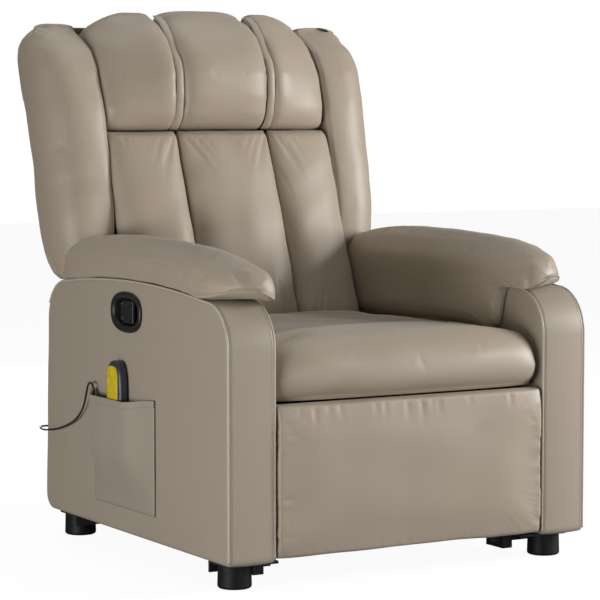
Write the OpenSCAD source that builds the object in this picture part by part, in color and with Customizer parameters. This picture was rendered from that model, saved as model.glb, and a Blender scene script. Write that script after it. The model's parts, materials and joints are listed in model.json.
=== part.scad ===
// Stand-up massage armchair: a lift base, a seat chassis with two arms, a reclining
// back, a folding footrest, a release paddle and a wired handset in a side pocket.
// +Z is up, the chair faces -Y, and z = 0 is the floor.

/* [Chair] */
// Width over the two arms
body_w = 780; // [760:4:796]
// Thickness of one arm
arm_w = 98; // [90:1:104]
// Height of the arm frames at the top of their arch
arm_top_z = 538; // [532:1:544]
// Height of the seat at its crown
seat_top_z = 456; // [450:1:462]
// Rounding of the arm at its front top corner
arm_front_r = 86; // [76:2:94]

/* [Base] */
// Diameter of one foot
foot_d = 63; // [56:1:68]
// Height of one foot under its plate
foot_h = 42; // [40:1:44]
// Width of the base rail
rail_w = 22; // [18:1:24]
// Diameter of the base cross tubes
cross_d = 25; // [20:1:27]

/* [Lift] */
// Length of the lift arms between their shafts
lift_len = 340; // [334:1:344]
// Diameter of the lift shafts
shaft_d = 16; // [14:1:18]
// Diameter of the gas strut
strut_d = 22; // [18:1:24]

/* [Footrest] */
// Length of one footrest link between its pivots
link_len = 140; // [132:1:142]
// Gap between the footrest panel and each arm
foot_gap = 8; // [6:1:18]
// Thickness of the footrest pad
foot_pad_t = 30; // [24:1:32]

/* [Back] */
// How far the wings stay inside the outer faces of the arms
wing_inset = 7; // [2:1:16]
// Height of the head cushion
top_z = 1068; // [1060:1:1076]

/* [Handset and pocket] */
// Width of the handset
handset_w = 62; // [56:1:66]
// Height of the handset
handset_h = 150; // [140:1:160]
// Diameter of one handset button
button_d = 9; // [7:0.5:10]
// Width of the side pocket
pocket_w = 258; // [250:1:266]
// Diameter of the handset cord
cord_d = 4; // [3:0.5:5]

/* [Hidden] */
$fn = 48;

// --- shared gaps and steps ---
soft_gap = 1;        // between soft pieces of one body
run_gap = 0.1;       // radial play of a pin in its bore
plate_t = 5;         // outrigger plate over a foot
under_gap = 3;       // arm bottom over that plate

// --- arms ---
half_w = body_w / 2;
arm_in = half_w - arm_w;
under_z = foot_h + plate_t + under_gap;
arm_front = -470;
arm_rear_low = 316;
arm_rear_high = 301;
arm_rear_r = 85;
arm_foot_r = 30;
arm_wall = 8;
arm_arch = 70;
arm_front_c = [arm_front + arm_front_r, arm_top_z - 17 - arm_front_r];
arm_rear_c = [arm_rear_high - arm_rear_r, arm_top_z - 16 - arm_rear_r];

// --- base ---
foot_y = [-405, 253];
foot_x = half_w - 48;
rail_out = arm_in - 4;
rail_in = rail_out - rail_w;
rail_z = [30, 58];
rail_y = [-377, 283];
cross_y = [-250, 40];
cross_z = 44;
leg_len = 57;
leg_z = 12;
screw_d = 8;

// --- lift ---
lift_front = [-250, 82];
lift_rise = 1.7;
lift_rear = lift_front + lift_len * [cos(lift_rise), sin(lift_rise)];
lug_x = [arm_in - 70, arm_in - 62];
lift_x = [arm_in - 59, arm_in - 51];
plate_x = [arm_in - 46, arm_in - 40];
horn_len = 45;
horn_lean = 67.5;
horn_tip = lift_front + horn_len * [cos(horn_lean), sin(horn_lean)];
strut_z = lift_front[1] + horn_len * (sin(horn_lean) + 1) / 2;
strut_eye_y = 50;
fork_x = [7, 12];
post_x = [12, 16];
strut_pin_d = 8;

// --- chassis ---
back_pivot = [215, 350];
back_pin_d = 10;
link_pin_d = 10;
link_top = [-428, 290];
link_low = link_top - [0, link_len];
frame_y = [-410, 170];
frame_z = [240, 325];
timber = 22;
front_rail_z = 280;
deck_t = 8;
deck_z = frame_z[1];
seat_half = arm_in - 8;
pawl_pivot = [-355, 255];
pawl_pin_d = 8;

// --- footrest ---
foot_half_w = arm_in - foot_gap;
panel_front = -484;
panel_z = [57, 334];
board_t = 12;
board_inset = 8;
pad_rear = panel_front + foot_pad_t;
board_rear = pad_rear + board_t;
rear_bar = link_top + [20, -105];
front_bar = link_top - [0, 38];
bar_d = 12;
link_w = 22;
rear_link_x = [arm_in - 55, arm_in - 49];
front_link_x = [arm_in - 65, arm_in - 59];
bracket_x = [arm_in - 75, arm_in - 69];

// --- pocket, paddle and handset ---
pocket_out = 26;
pocket_y0 = -184;
pocket_z = [100, 320];
pocket_t = 2;
bezel_c = [-66, 478];
bezel_w = 128;
bezel_h = 78;
bezel_t = 4;
cup_w = 106;
cup_h = 56;
cup_depth = 24;
paddle_pivot_y = -34;
paddle_pin_d = 3;
handset_c_y = -44;
handset_top = 384;
handset_low = handset_top - handset_h;
shell_x = [half_w + 1.5, half_w + 21.5];
face_t = 1;
button_rise = 1;
button_pitch = 16;

// The chair's own middle plane stands off the origin by half of what the pocket adds
mid_x = pocket_out / 2;

// --- release cable and handset cord, from end to end ---
cable_d = 5;
cable_hole = [-300, 224];
cable_hole_d = 18;
cable_start_x = 26 - half_w;
cable_end_x = -plate_x[1] - 10;
cable_route = [
  [cable_start_x, -50, 450], [cable_start_x + 12, -60, 400], [cable_start_x + 18, -120, 300],
  [cable_start_x + 22, -200, 236], [cable_start_x + 30, -270, 226], [-arm_in - 28, -296, 224],
  [cable_end_x, -304, 224], [cable_end_x + 16, -318, 224], [cable_end_x + 21, -330, 226]];
gland_x = 57 - arm_in;
gland_z = 190;
apron_y = [292, 300];
gland_end = 318;
inlet_x = 150;
inlet_z = 110;
cord_x = -half_w - 12;
cord_route = [
  [cord_x, handset_c_y, handset_low], [cord_x, handset_c_y, handset_low - 10],
  [cord_x, handset_c_y, handset_low - 32], [cord_x, -30, handset_low - 56], [cord_x, 5, 176],
  [cord_x, 36, 205], [cord_x, 50, 260], [cord_x, 60, 318], [cord_x - 1, 70, 330],
  [cord_x, 86, 322], [cord_x + 2, 112, 278], [cord_x + 4, 158, 246], [cord_x + 5, 232, 222],
  [cord_x + 5, 300, 211], [cord_x + 7, 330, 212], [cord_x + 20, 343, 213],
  [cord_x + 52, 342, 211], [-arm_in - 8, 345, 204], [gland_x - 23, 350, 196], [gland_x - 3, 344, gland_z + 1],
  [gland_x, 334, gland_z], [gland_x, 326, gland_z], [gland_x, gland_end, gland_z]];

// --- massage motors, centres as [y, z] ---
motor_d = 40;
motor_x = [70, 112];
weight_x = [116, 126];
seat_motor_c = [-150, 282];
back_motor_c = [285, 560];

// --- back, heights against distances ---
valley_mid = [[345, 142], [400, 142], [455, 147], [593, 196], [666, 224], [737, 254],
              [818, 285]];
valley_out = [[345, 152], [400, 153], [455, 166], [610, 232], [658, 248], [754, 279],
              [818, 304]];
head_mid = [[818, 286], [850, 262], [890, 252], [937, 251], [980, 268], [1009, 290],
            [1040, 330], [1061, 374]];
head_out = [[818, 306], [867, 300], [929, 318], [992, 361], [1028, 401]];
head_back = [[820, 346], [900, 365], [962, 390], [982, 462], [1000, 468], [1030, 444],
             [1060, 418], [1080, 412]];
rear_y = [[345, 262], [430, 272], [512, 342], [551, 375], [621, 393], [736, 410],
          [798, 424], [860, 446], [902, 468], [950, 486], [985, 489], [1010, 482],
          [1030, 462], [1045, 430]];
wing_rear_in = 5;
wing_crest = 0.4;
pad_y = [-442, 230];
nose_turn = 80;
rear_cover_t = 6;
wing_front = [[530, 240], [560, 240], [600, 240], [660, 243], [736, 257], [794, 273],
              [881, 294], [945, 316], [988, 346], [1009, 381], [1030, 430]];
wing_half_w = half_w - wing_inset;
wing_in = arm_in - 30;
channel_mid_x = wing_in * 0.41;
gusset_w = 20;
rail_heights = [400, back_motor_c[1] + 38, 780, 930];
channel_z = [347, 814];
head_z = 820;
bulge = 36;
channel_rear = 34;
frame_back_gap = 50;
frame_head_gap = 60;

// ---------- helpers ----------
module both_sides() {
  children();
  mirror([1, 0, 0]) children();
}

module slab(x, y, z) {
  translate([x[0], y[0], z[0]]) cube([x[1] - x[0], y[1] - y[0], z[1] - z[0]]);
}

// A round bar along X, centred on c = [y, z]
module bar_x(x, c, d) {
  translate([x[0], c[0], c[1]]) rotate([0, 90, 0]) cylinder(h = x[1] - x[0], d = d);
}

// A round bar along Y, centred on x and z
module bar_y(y, x, z, d) {
  translate([x, y[0], z]) rotate([-90, 0, 0]) cylinder(h = y[1] - y[0], d = d);
}

// A [y, z] outline made into a plate between two x places
module plate_yz(x, outline) {
  translate([x[0], 0, 0]) rotate([90, 0, 90]) linear_extrude(x[1] - x[0]) polygon(outline);
}

// A flat bar with round ends between two [y, z] points
module link_bar(x, a, b, w) {
  lean = atan2(b[1] - a[1], b[0] - a[0]);
  plate_yz(x, concat(arc(a, w / 2, lean + 90, lean + 270, 12), arc(b, w / 2, lean - 90, lean + 90, 12)));
}

// Points of an arc about c from angle a0 to a1
function arc(c, r, a0, a1, n) =
  [for (i = [0 : n]) let (a = a0 + (a1 - a0) * i / n) c + r * [cos(a), sin(a)]];

// A rounded rectangle as points, half sizes hw and hh
function round_rect(c, hw, hh, r, n) = concat(
  arc(c + [hw - r, hh - r], r, 0, 90, n), arc(c + [r - hw, hh - r], r, 90, 180, n),
  arc(c + [r - hw, r - hh], r, 180, 270, n), arc(c + [hw - r, r - hh], r, 270, 360, n));

// One turn of a superellipse about c, half sizes hw and hd, power p
function soft_ring(c, hw, hd, p, n) = [for (i = [0 : n - 1]) let (a = 360 * i / n)
  c + [hw * sign(cos(a)) * pow(abs(cos(a)), 2 / p), hd * sign(sin(a)) * pow(abs(sin(a)), 2 / p)]];

// A closed skin over rings of equal length, each a list of [x, y, z]
module loft(rings) {
  n = len(rings[0]);
  m = len(rings);
  points = [for (ring = rings) each ring];
  walls = [for (j = [0 : m - 2], i = [0 : n - 1]) let (k = (i + 1) % n)
    each [[j * n + i, (j + 1) * n + i, (j + 1) * n + k],
          [j * n + i, (j + 1) * n + k, j * n + k]]];
  caps = [[for (i = [0 : n - 1]) i], [for (i = [0 : n - 1]) m * n - 1 - i]];
  polyhedron(points, concat(walls, caps), convexity = 6);
}

// The same ring walked the other way round
function flip(ring) = [for (i = [len(ring) - 1 : -1 : 0]) ring[i]];

// How much of a pillow's bulge is left at a share t of its length
function swell(t, power) = pow(max(0, 1 - pow(abs(2 * t - 1), power)), 1 / power);

// ---------- base ----------
module base_frame() {
  color("#1c1c1e") difference() {
    union() {
      both_sides() {
        slab([rail_in, rail_out], rail_y, rail_z);
        slab([rail_in, rail_out], [rail_y[0], rail_y[0] + leg_len], [leg_z, rail_z[1]]);
        slab([rail_in, rail_out], [rail_y[1] - leg_len, rail_y[1]], [leg_z, rail_z[1]]);
        for (i = [0, 1]) outrigger(foot_y[i], i == 0 ? 1 : -1);
        slab(lug_x, [lift_front[0] - 14, lift_front[0] + 14], [cross_z, lift_front[1] + 16]);
      }
      for (y = cross_y) bar_x([-rail_in - 1, rail_in + 1], [y, cross_z], cross_d);
      for (s = [0, 1]) mirror([s, 0, 0])
        slab(post_x, [strut_eye_y - 16, strut_eye_y + 10], [cross_z, strut_z + 12]);
    }
    for (x = [-foot_x, foot_x], y = foot_y)
      translate([x, y, foot_h - 1]) cylinder(h = plate_t + 2, d = screw_d + 1);
    bar_x([-lug_x[1] - 1, lug_x[1] + 1], lift_front, shaft_d + 2 * run_gap);
    bar_x([-post_x[1] - 1, post_x[1] + 1], [strut_eye_y, strut_z], strut_pin_d + 2 * run_gap);
  }
}

// The plate over a foot and its flange; toward is 1 when the flange is behind the foot
module outrigger(y, toward) {
  near = y - toward * foot_d / 2;
  far = y + toward * 45;
  slab([rail_in + 2, foot_x + 30], [min(near, far), max(near, far)], [foot_h, foot_h + plate_t]);
  slab([rail_in - 21, foot_x + 30], [min(far, far - toward * 6), max(far, far - toward * 6)],
       [24, foot_h + plate_t]);
}

module base_feet() {
  color("#141416") for (x = [-foot_x, foot_x], y = foot_y) translate([x, y, 0]) difference() {
    rotate_extrude() polygon(concat([[0, 0]], arc([foot_d / 2 - 5, 5], 5, 270, 360, 6),
      [[foot_d / 2 - 1, foot_h], [0, foot_h]]));
    translate([0, 0, -1]) cylinder(h = 16, d = 20);
    translate([0, 0, 10]) cylinder(h = foot_h, d = screw_d + 0.6);
  }
}

module foot_screws() {
  color("silver") for (x = [-foot_x, foot_x], y = foot_y) translate([x, y, 8]) {
    cylinder(h = 7, d = 16);
    cylinder(h = foot_h + plate_t - 7, d = screw_d);
  }
}

// ---------- lift ----------
module lift_arms() {
  color("#2a2a2d") {
    both_sides() link_bar(lift_x, lift_front, lift_rear, 36);
    bar_x([-lift_x[1] - 3, lift_x[1] + 3], lift_front, shaft_d);
    bar_x([-plate_x[1] - 4, plate_x[1] + 4], lift_rear, shaft_d);
    link_bar([-5, 5], lift_front, horn_tip, 20);
    bar_x([-fork_x[1] - 4, fork_x[1] + 4], horn_tip, strut_pin_d);
  }
}

module strut_cylinder() {
  color("#101012") {
    difference() {
      bar_y([-120, strut_eye_y - 6], 0, strut_z, strut_d);
      bar_y([-121, -10], 0, strut_z, 10.4);
    }
    bar_x([-post_x[0] + 2, post_x[0] - 2], [strut_eye_y, strut_z], 20);
    bar_x([-post_x[1] - 3, post_x[1] + 3], [strut_eye_y, strut_z], strut_pin_d);
  }
}

module strut_rod() {
  fork_rear = horn_tip[0] + 24;
  color("silver") {
    bar_y([fork_rear - 4, -40], 0, strut_z, 10);
    slab([-fork_x[1], fork_x[1]], [fork_rear - 9, fork_rear], [strut_z - 11, strut_z + 11]);
    both_sides() difference() {
      union() {
        slab(fork_x, [horn_tip[0], fork_rear], [strut_z - 11, strut_z + 11]);
        bar_x(fork_x, [horn_tip[0], strut_z], 22);
      }
      bar_x([fork_x[0] - 1, fork_x[1] + 1], [horn_tip[0], strut_z], 14);
    }
  }
}

// ---------- chassis ----------
module mechanism_plate() {
  outline = [[-442, 272], [-442, 298], [180, 298], [196, 372], [234, 372], [240, 320], [122, 72],
             [64, 72], [30, 130], [-100, 232], [-380, 240], [-430, 262]];
  color("#2a2a2d") difference() {
    plate_yz(plate_x, outline);
    bar_x([plate_x[0] - 1, plate_x[1] + 1], lift_rear, shaft_d + 2 * run_gap);
    bar_x([plate_x[0] - 1, plate_x[1] + 1], back_pivot, back_pin_d + 2 * run_gap);
    bar_x([plate_x[0] - 1, plate_x[1] + 1], link_top, link_pin_d + 2 * run_gap);
  }
}

module mechanism_plate_left() { mechanism_plate(); }

module mechanism_plate_right() {
  mirror([1, 0, 0]) mechanism_plate();
  color("silver") bar_x([-plate_x[0], -plate_x[0] + 9], pawl_pivot, pawl_pin_d);
}

module front_cross_tube() {
  color("#2a2a2d") bar_x([-plate_x[0], plate_x[0]], [-300, 262], cross_d);
}

module rear_cross_tube() {
  color("#2a2a2d") bar_x([-plate_x[0], plate_x[0]], [30, 262], cross_d);
}

module seat_frame() {
  side_in = plate_x[1] + 2;
  color("#c9a875") difference() {
    union() {
      both_sides() slab([side_in, arm_in], frame_y, frame_z);
      slab([-side_in, side_in], [frame_y[0], frame_y[0] + timber], [front_rail_z, frame_z[1]]);
      slab([-side_in, side_in], [frame_y[1] - timber, frame_y[1]], frame_z);
    }
    both_sides() slab([plate_x[0] - 0.5, plate_x[1] + 0.5], [frame_y[0] - 1, frame_y[1] + 1],
                      [frame_z[0] - 1, 299]);
  }
}

module seat_springs() {
  wire = 3.5;
  pitch = 24;
  reach = 40;
  turns = floor((frame_y[1] - frame_y[0] - 2 * timber) / pitch / 2);
  start = frame_y[0] + timber;
  color("silver") for (i = [-2 : 2]) translate([i * 0.35 * seat_half, start, deck_z - 9])
    linear_extrude(wire) {
      for (i = [0 : 2 * turns]) translate([-reach / 2, i * pitch]) square([reach, wire]);
      for (i = [0 : 2 * turns - 1])
        translate([i % 2 == 0 ? reach / 2 - wire : -reach / 2, i * pitch]) square([wire, pitch + wire]);
      translate([-wire / 2, 2 * turns * pitch])
        square([wire, frame_y[1] - timber - start - 2 * turns * pitch]);
    }
}

module seat_deck() {
  color("#3a3a3c") slab([-seat_half, seat_half], [frame_y[0], frame_y[1] - 60], [deck_z, deck_z + deck_t]);
}

// The seat's side outline at a share s of its full fatness
function seat_outline(s) = let (
    low = deck_z + deck_t + soft_gap,
    high = seat_top_z - 40 * (1 - s),
    front = panel_front + 4 + 33 * (1 - s))
  concat(
    [[front + 33, low + 5]],
    arc([front + 42, low + 45], 42, 235, 180, 4),
    arc([front + 60, high - 62], 60, 168, 96, 6),
    [[-330, high - 1], [-230, high], [-110, high - 2], [0, high - 6]],
    arc([78 - 24 * (1 - s), high - 34], 28, 90, 0, 4),
    [[98 - 14 * (1 - s), low]]);

module seat_cushion() {
  steps = 12;
  rings = [for (i = [0 : steps]) let (u = -cos(180 * i / steps), fat = swell((u + 1) / 2, 3.4))
    [for (p = flip(seat_outline(fat))) [u * seat_half, p[0], p[1]]]];
  color("#9a8e80") loft(rings);
}

module rear_panel() {
  color("#8f8476") difference() {
    slab([-arm_in, arm_in], apron_y, [60, 330]);
    bar_y([apron_y[0] - 2, apron_y[1] + 2], gland_x, gland_z, 10.2);
    bar_y([apron_y[0] - 2, apron_y[1] + 2], inlet_x, inlet_z, 12.2);
  }
}

// ---------- arms ----------
// The arm's side outline [y, z], drawn inward by i
function arm_outline(i) = let (
    f = arm_front_c, r = arm_rear_c, span = r[0] - f[0],
    z0 = f[1] + arm_front_r - i, z1 = r[1] + arm_rear_r - i)
  concat(
    [[arm_front + i, under_z + i]],
    arc(f, arm_front_r - i, 180, 90, 8),
    [for (k = [1 : 7]) let (t = k / 8) [f[0] + span * t, z0 + (z1 - z0) * t + arm_arch * t * (1 - t)]],
    arc(r, arm_rear_r - i, 90, 0, 10),
    arc([arm_rear_low - arm_foot_r, under_z + arm_foot_r], arm_foot_r - i, 0, -90, 5));

// Height of the arm's top at a place y
function arm_z(y) = let (
    t = (y - arm_front_c[0]) / (arm_rear_c[0] - arm_front_c[0]),
    z0 = arm_front_c[1] + arm_front_r, z1 = arm_rear_c[1] + arm_rear_r)
  t < 0 ? arm_front_c[1] + sqrt(max(0, pow(arm_front_r, 2) - pow(y - arm_front_c[0], 2)))
  : z0 + (z1 - z0) * t + arm_arch * t * (1 - t);

module arm_cover() {
  color("#978b7d") difference() {
    plate_yz([arm_in, half_w], arm_outline(0));
    plate_yz([arm_in + arm_wall, half_w - arm_wall], arm_outline(arm_wall));
    slab([arm_in + arm_wall, half_w - arm_wall],
         [arm_front + arm_wall, arm_rear_low - arm_foot_r - 8], [under_z - 1, under_z + arm_wall + 1]);
  }
}

module arm_cover_left() { arm_cover(); }

module arm_cover_right() {
  difference() {
    mirror([1, 0, 0]) arm_cover();
    stadium_x([-half_w - 1, -half_w + arm_wall + 1], bezel_c, cup_w + 1, cup_h + 1);
    bar_x([-arm_in - arm_wall - 1, -arm_in + 1], cable_hole, cable_hole_d);
  }
}

module arm_frame() {
  gap = arm_wall + 1;
  panel = [arm_in + gap + 1, arm_in + gap + 19];
  block = [arm_in + gap + 1, half_w - gap - 12];
  color("#c9a875") {
    plate_yz(panel, arm_outline(gap));
    slab(block, [arm_front + gap + 1, arm_front + gap + 41], [under_z + gap + 2, 430]);
    slab(block, [235, 275], [under_z + gap + 2, 430]);
    slab(block, [arm_front + gap + 1, 275], [under_z + gap + 2, under_z + gap + 42]);
  }
}

module arm_frame_left() { arm_frame(); }

module arm_frame_right() {
  difference() {
    mirror([1, 0, 0]) arm_frame();
    bar_x([-arm_in - 40, -arm_in], cable_hole, cable_hole_d);
  }
}

// How far the nose of a pad falls back towards its outer side
function nose_back(x, y) =
  nose_turn * pow(max(0, x - arm_in - 20) / 78, 2) * min(1, max(0, (-330 - y) / 90));

// The pad's cross section at y: over the arm's top and down its inner face
function pad_ring(y) = let (
    top = lookup(y, [[-442, 556], [-432, 569], [-415, 579], [-401, 586], [-365, 597],
                     [-300, 607], [-230, 613], [-100, 619], [20, 619], [120, 613],
                     [180, 606], [pad_y[1], 590]]),
    fat = lookup(y, [[-442, 0.55], [-432, 0.8], [-401, 0.95], [-340, 1], [180, 1], [pad_y[1], 0.9]]),
    seat = max(arm_z(y + nose_back(half_w - 4, y)) + soft_gap,
               lookup(y, [[-442, 536], [-425, 531], [-400, 527], [-390, 0]])),
    rise = top - seat,
    drop = seat - lookup(y, [[-380, 3], [-352, 10], [-342, 40], [-334, 74], [-300, 92], [pad_y[1], 93]]),
    out = half_w + 2 - 26 * (1 - fat),
    mid = (arm_in + half_w) / 2,
    inner = arm_in - 20 + 26 * (1 - fat))
  [[half_w - 4, seat], [out, seat + 0.22 * rise], [out - 4, seat + 0.5 * rise],
   [out - 14, seat + 0.74 * rise], [out - 32, seat + 0.92 * rise], [mid + 12, top], [mid - 12, top],
   [inner + 24, seat + 0.9 * rise], [inner + 8, seat + 0.66 * rise], [inner + 1, seat + 0.34 * rise],
   [inner, seat + 0.4 * (drop - seat)], [inner + 1, seat + 0.9 * (drop - seat)], [inner + 4, drop],
   [arm_in - 2, drop], [arm_in - 1, seat]];

module arm_pad() {
  ys = [-442, -438, -432, -420, -401, -380, -366, -352, -342, -334, -300, -233, -120, -14, 60, 120, 180,
        pad_y[1] - 20, pad_y[1] - 8, pad_y[1]];
  rings = [for (y = ys) [for (p = flip(pad_ring(y))) [p[0], y + nose_back(p[0], y), p[1]]]];
  color("#a09486") loft(rings);
}

module arm_pad_left() { arm_pad(); }
module arm_pad_right() { mirror([1, 0, 0]) arm_pad(); }

// ---------- release paddle ----------
module stadium_x(x, c, w, h) {
  for (s = [-1, 1]) bar_x(x, [c[0] + s * (w - h) / 2, c[1]], h);
  slab(x, [c[0] - (w - h) / 2, c[0] + (w - h) / 2], [c[1] - h / 2, c[1] + h / 2]);
}

module handle_bezel() {
  out = -half_w - bezel_t;
  color("#1b1b1d") difference() {
    union() {
      stadium_x([out, -half_w], bezel_c, bezel_w, bezel_h);
      stadium_x([-half_w, -half_w + cup_depth], bezel_c, cup_w, cup_h);
    }
    stadium_x([out - 1, -half_w + cup_depth - 2], bezel_c, cup_w - 5, cup_h - 5);
  }
  color("#1b1b1d") for (s = [0, 1])
    translate([-half_w + 7, paddle_pivot_y, bezel_c[1]]) mirror([0, 0, s]) translate([0, 0, 13])
      cylinder(h = cup_h / 2 - 14, d = paddle_pin_d);
}

module pull_paddle() {
  c = bezel_c[1];
  color("#222224") difference() {
    union() {
      slab([-half_w + 1, -half_w + 7], [paddle_pivot_y - 54, paddle_pivot_y - 10], [c - 22, c + 22]);
      slab([-half_w + 1, -half_w + 7], [paddle_pivot_y - 12, paddle_pivot_y], [c - 12, c + 12]);
      translate([-half_w + 7, paddle_pivot_y, c - 17]) cylinder(h = 34, d = 9);
    }
    translate([-half_w + 7, paddle_pivot_y, c - 30]) cylinder(h = 60, d = paddle_pin_d + 2 * run_gap);
  }
}

// A hook to the front and a tail below it that the cable pulls
module latch_pawl() {
  x = [-plate_x[0] + 1, -plate_x[0] + 7];
  hook = [[7, 2], [4, 6], [-4, 8], [-20, 5], [-37, -3], [-39, -14], [-31, -14], [-27, -9],
          [-8, -7], [-3, -27], [6, -27], [8, -6]];
  color("silver") difference() {
    plate_yz(x, [for (p = hook) pawl_pivot + p]);
    bar_x([x[0] - 1, x[1] + 1], pawl_pivot, pawl_pin_d + 2 * run_gap);
  }
}

module release_cable() {
  color("#101012") tube_along(smooth_route(cable_route, 3), cable_d / 2, 8);
}

// ---------- handset ----------
module handset_shell() {
  hole = button_d + 0.6;
  middle = [handset_c_y, (handset_low + handset_top) / 2];
  outline = round_rect(middle, handset_w / 2, handset_h / 2, 16, 6);
  color("#33374a") difference() {
    plate_yz([-shell_x[1], -shell_x[0]], outline);
    for (i = [0 : 3]) bar_x([-shell_x[1] - 1, -shell_x[1] + 4], button_at(i), hole);
  }
}

function button_at(i) = i == 0 ? [handset_c_y, handset_top - 24]
  : [handset_c_y + (i == 1 ? -13 : i == 2 ? 13 : 0), handset_top - 24 - (i == 3 ? 2 : 1) * button_pitch];

module handset_face() {
  outline = round_rect([handset_c_y, handset_top - 52], handset_w / 2 - 7, 44, 10, 5);
  color("#d8b400") difference() {
    plate_yz([-shell_x[1] - face_t, -shell_x[1]], outline);
    for (i = [0 : 3]) bar_x([-shell_x[1] - face_t - 1, -shell_x[1] + 1], button_at(i), button_d + 0.6);
  }
}

module handset_button(i) {
  color("#c9a400")
    bar_x([-shell_x[1] - face_t - button_rise, -shell_x[1] + 1.5], button_at(i), button_d);
}

module button_power() { handset_button(0); }
module button_mode() { handset_button(1); }
module button_intensity() { handset_button(2); }
module button_heat() { handset_button(3); }

// A pouch that bellies out from the arm, open at its top
module side_pocket() {
  x = half_w;
  out = half_w + pocket_out;
  y = [pocket_y0, pocket_y0 + pocket_w];
  outer = [[x, pocket_z[0]], [x + 10, pocket_z[0]], [out - 4, 160], [out, 195], [out, pocket_z[1]],
           [x, pocket_z[1]]];
  inner = [[x - 1, pocket_z[0] + pocket_t], [x + 9, pocket_z[0] + pocket_t], [out - 6, 161],
           [out - pocket_t, 196], [out - pocket_t, pocket_z[1] + 1], [x - 1, pocket_z[1] + 1]];
  color("#a39789") mirror([1, 0, 0]) difference() {
    translate([0, y[1], 0]) rotate([90, 0, 0]) linear_extrude(pocket_w) polygon(outer);
    translate([0, y[1] - pocket_t, 0]) rotate([90, 0, 0])
      linear_extrude(pocket_w - 2 * pocket_t) polygon(inner);
  }
}

// ---------- cord ----------
function spline(p0, p1, p2, p3, t) = 0.5 * ((2 * p1) + (p2 - p0) * t
  + (2 * p0 - 5 * p1 + 4 * p2 - p3) * t * t + (3 * p1 - p0 - 3 * p2 + p3) * t * t * t);

// The route with n steps laid between each two points
function smooth_route(route, n) = let (last = len(route) - 1) concat(
  [for (i = [0 : last - 1], k = [0 : n - 1])
    spline(route[max(i - 1, 0)], route[i], route[i + 1], route[min(i + 2, last)], k / n)],
  [route[last]]);

function unit(v) = v / norm(v);

// Rings square to the route, each with its first point toward a side that never lies along it
module tube_along(path, r, sides) {
  last = len(path) - 1;
  rings = [for (i = [0 : last]) let (
      along = unit(path[min(i + 1, last)] - path[max(i - 1, 0)]),
      side = unit(cross(along, [0.31, 0.42, 0.85])), up = cross(side, along))
    [for (k = [0 : sides - 1]) let (a = 360 * k / sides) path[i] + r * (cos(a) * side - sin(a) * up)]];
  loft(rings);
}

module handset_cord() {
  color("#0d0d0e") tube_along(smooth_route(cord_route, 3), cord_d / 2, 8);
}

module cord_gland() {
  color("#141416") {
    bar_y([apron_y[0] - 8, apron_y[1]], gland_x, gland_z, 10);
    bar_y([apron_y[1], gland_end], gland_x, gland_z, 14);
  }
}

// ---------- massage system ----------
module control_box() {
  color("#202022") slab([-85, 85], [88, frame_y[1] - timber], [248, 292]);
}

module power_inlet() {
  color("#141416") difference() {
    union() {
      bar_y([apron_y[0] - 8, apron_y[1]], inlet_x, inlet_z, 12);
      bar_y([apron_y[1], apron_y[1] + 3], inlet_x, inlet_z, 18);
    }
    bar_y([apron_y[0] - 4, apron_y[1] + 4], inlet_x, inlet_z, 5.5);
  }
}

module heating_pad() {
  z = [430, 640];
  front = [for (k = [0 : 4]) let (h = z[0] + (z[1] - z[0]) * k / 4) [lookup(h, valley_out) + 38, h]];
  back = [for (k = [4 : -1 : 0]) let (h = z[0] + (z[1] - z[0]) * k / 4) [lookup(h, valley_out) + 41, h]];
  color("#303034") plate_yz([-180, 180], concat(front, back));
}

// A motor body along X with its hanging strap, given as its reach in y and in z
module motor(c, strap) {
  bar_x(motor_x, c, motor_d);
  bar_x([motor_x[1] - 1, weight_x[0] - 1], c, 12);
  slab(motor_x, [c[0] + strap[0][0], c[0] + strap[0][1]],
       [c[1] + strap[1][0], c[1] + strap[1][1]]);
}

module spin_weight(c) {
  bar_x([weight_x[0] - 1, weight_x[0] + 1], c, 6);
  difference() {
    bar_x(weight_x, c, 34);
    slab([weight_x[0] - 1, weight_x[1] + 1], [c[0] - 20, c[0] + 20], [c[1] + 5, c[1] + 20]);
  }
}

module seat_motors() {
  color("#3c3c40") both_sides() motor(seat_motor_c, [[-26, 26], [17, 32]]);
}
module seat_weight_left() { color("silver") spin_weight(seat_motor_c); }
module seat_weight_right() { color("silver") mirror([1, 0, 0]) spin_weight(seat_motor_c); }

module back_motors() {
  color("#3c3c40") both_sides() motor(back_motor_c, [[-16, 16], [15, 30]]);
}
module back_weight_left() { color("silver") spin_weight(back_motor_c); }
module back_weight_right() { color("silver") mirror([1, 0, 0]) spin_weight(back_motor_c); }

// ---------- back ----------
function frame_front(z) = lookup(z, valley_out) + frame_back_gap;

module back_frame() {
  post = 22;
  post_out = plate_x[0] - 16;
  post_in = post_out - post;
  zs = [372, 455, 545, 640, 740, 818];
  top = [for (z = [900, 950]) [z, lookup(z, head_out) + frame_head_gap]];
  front = concat([for (z = zs) [frame_front(z), z]], [for (p = top) [p[1], p[0]]]);
  rear = [for (i = [len(front) - 1 : -1 : 0]) front[i] + [post, 0]];
  motor_rail = back_motor_c[1] + 30;
  color("#2a2a2d") difference() {
    union() {
      both_sides() {
        plate_yz([post_in, post_out], concat(front, rear));
        plate_yz([post_out, plate_x[0] - 5], [[196, 334], [234, 334], [frame_front(455) + post, 455],
                                             [frame_front(455), 455]]);
      }
      for (z = rail_heights)
        let (y = z < 818 ? frame_front(z) : lookup(z, head_out) + frame_head_gap + 1)
          slab([-post_in - 1, post_in + 1], [y + 2, y + 18], [z - 8, z + 8]);
      both_sides() slab([74, 108], [back_motor_c[0] - 12, back_motor_c[0] + 12],
                        [motor_rail, motor_rail + 3]);
    }
    bar_x([-plate_x[0] + 4, plate_x[0] - 4], back_pivot, back_pin_d + 2 * run_gap);
  }
}

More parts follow.
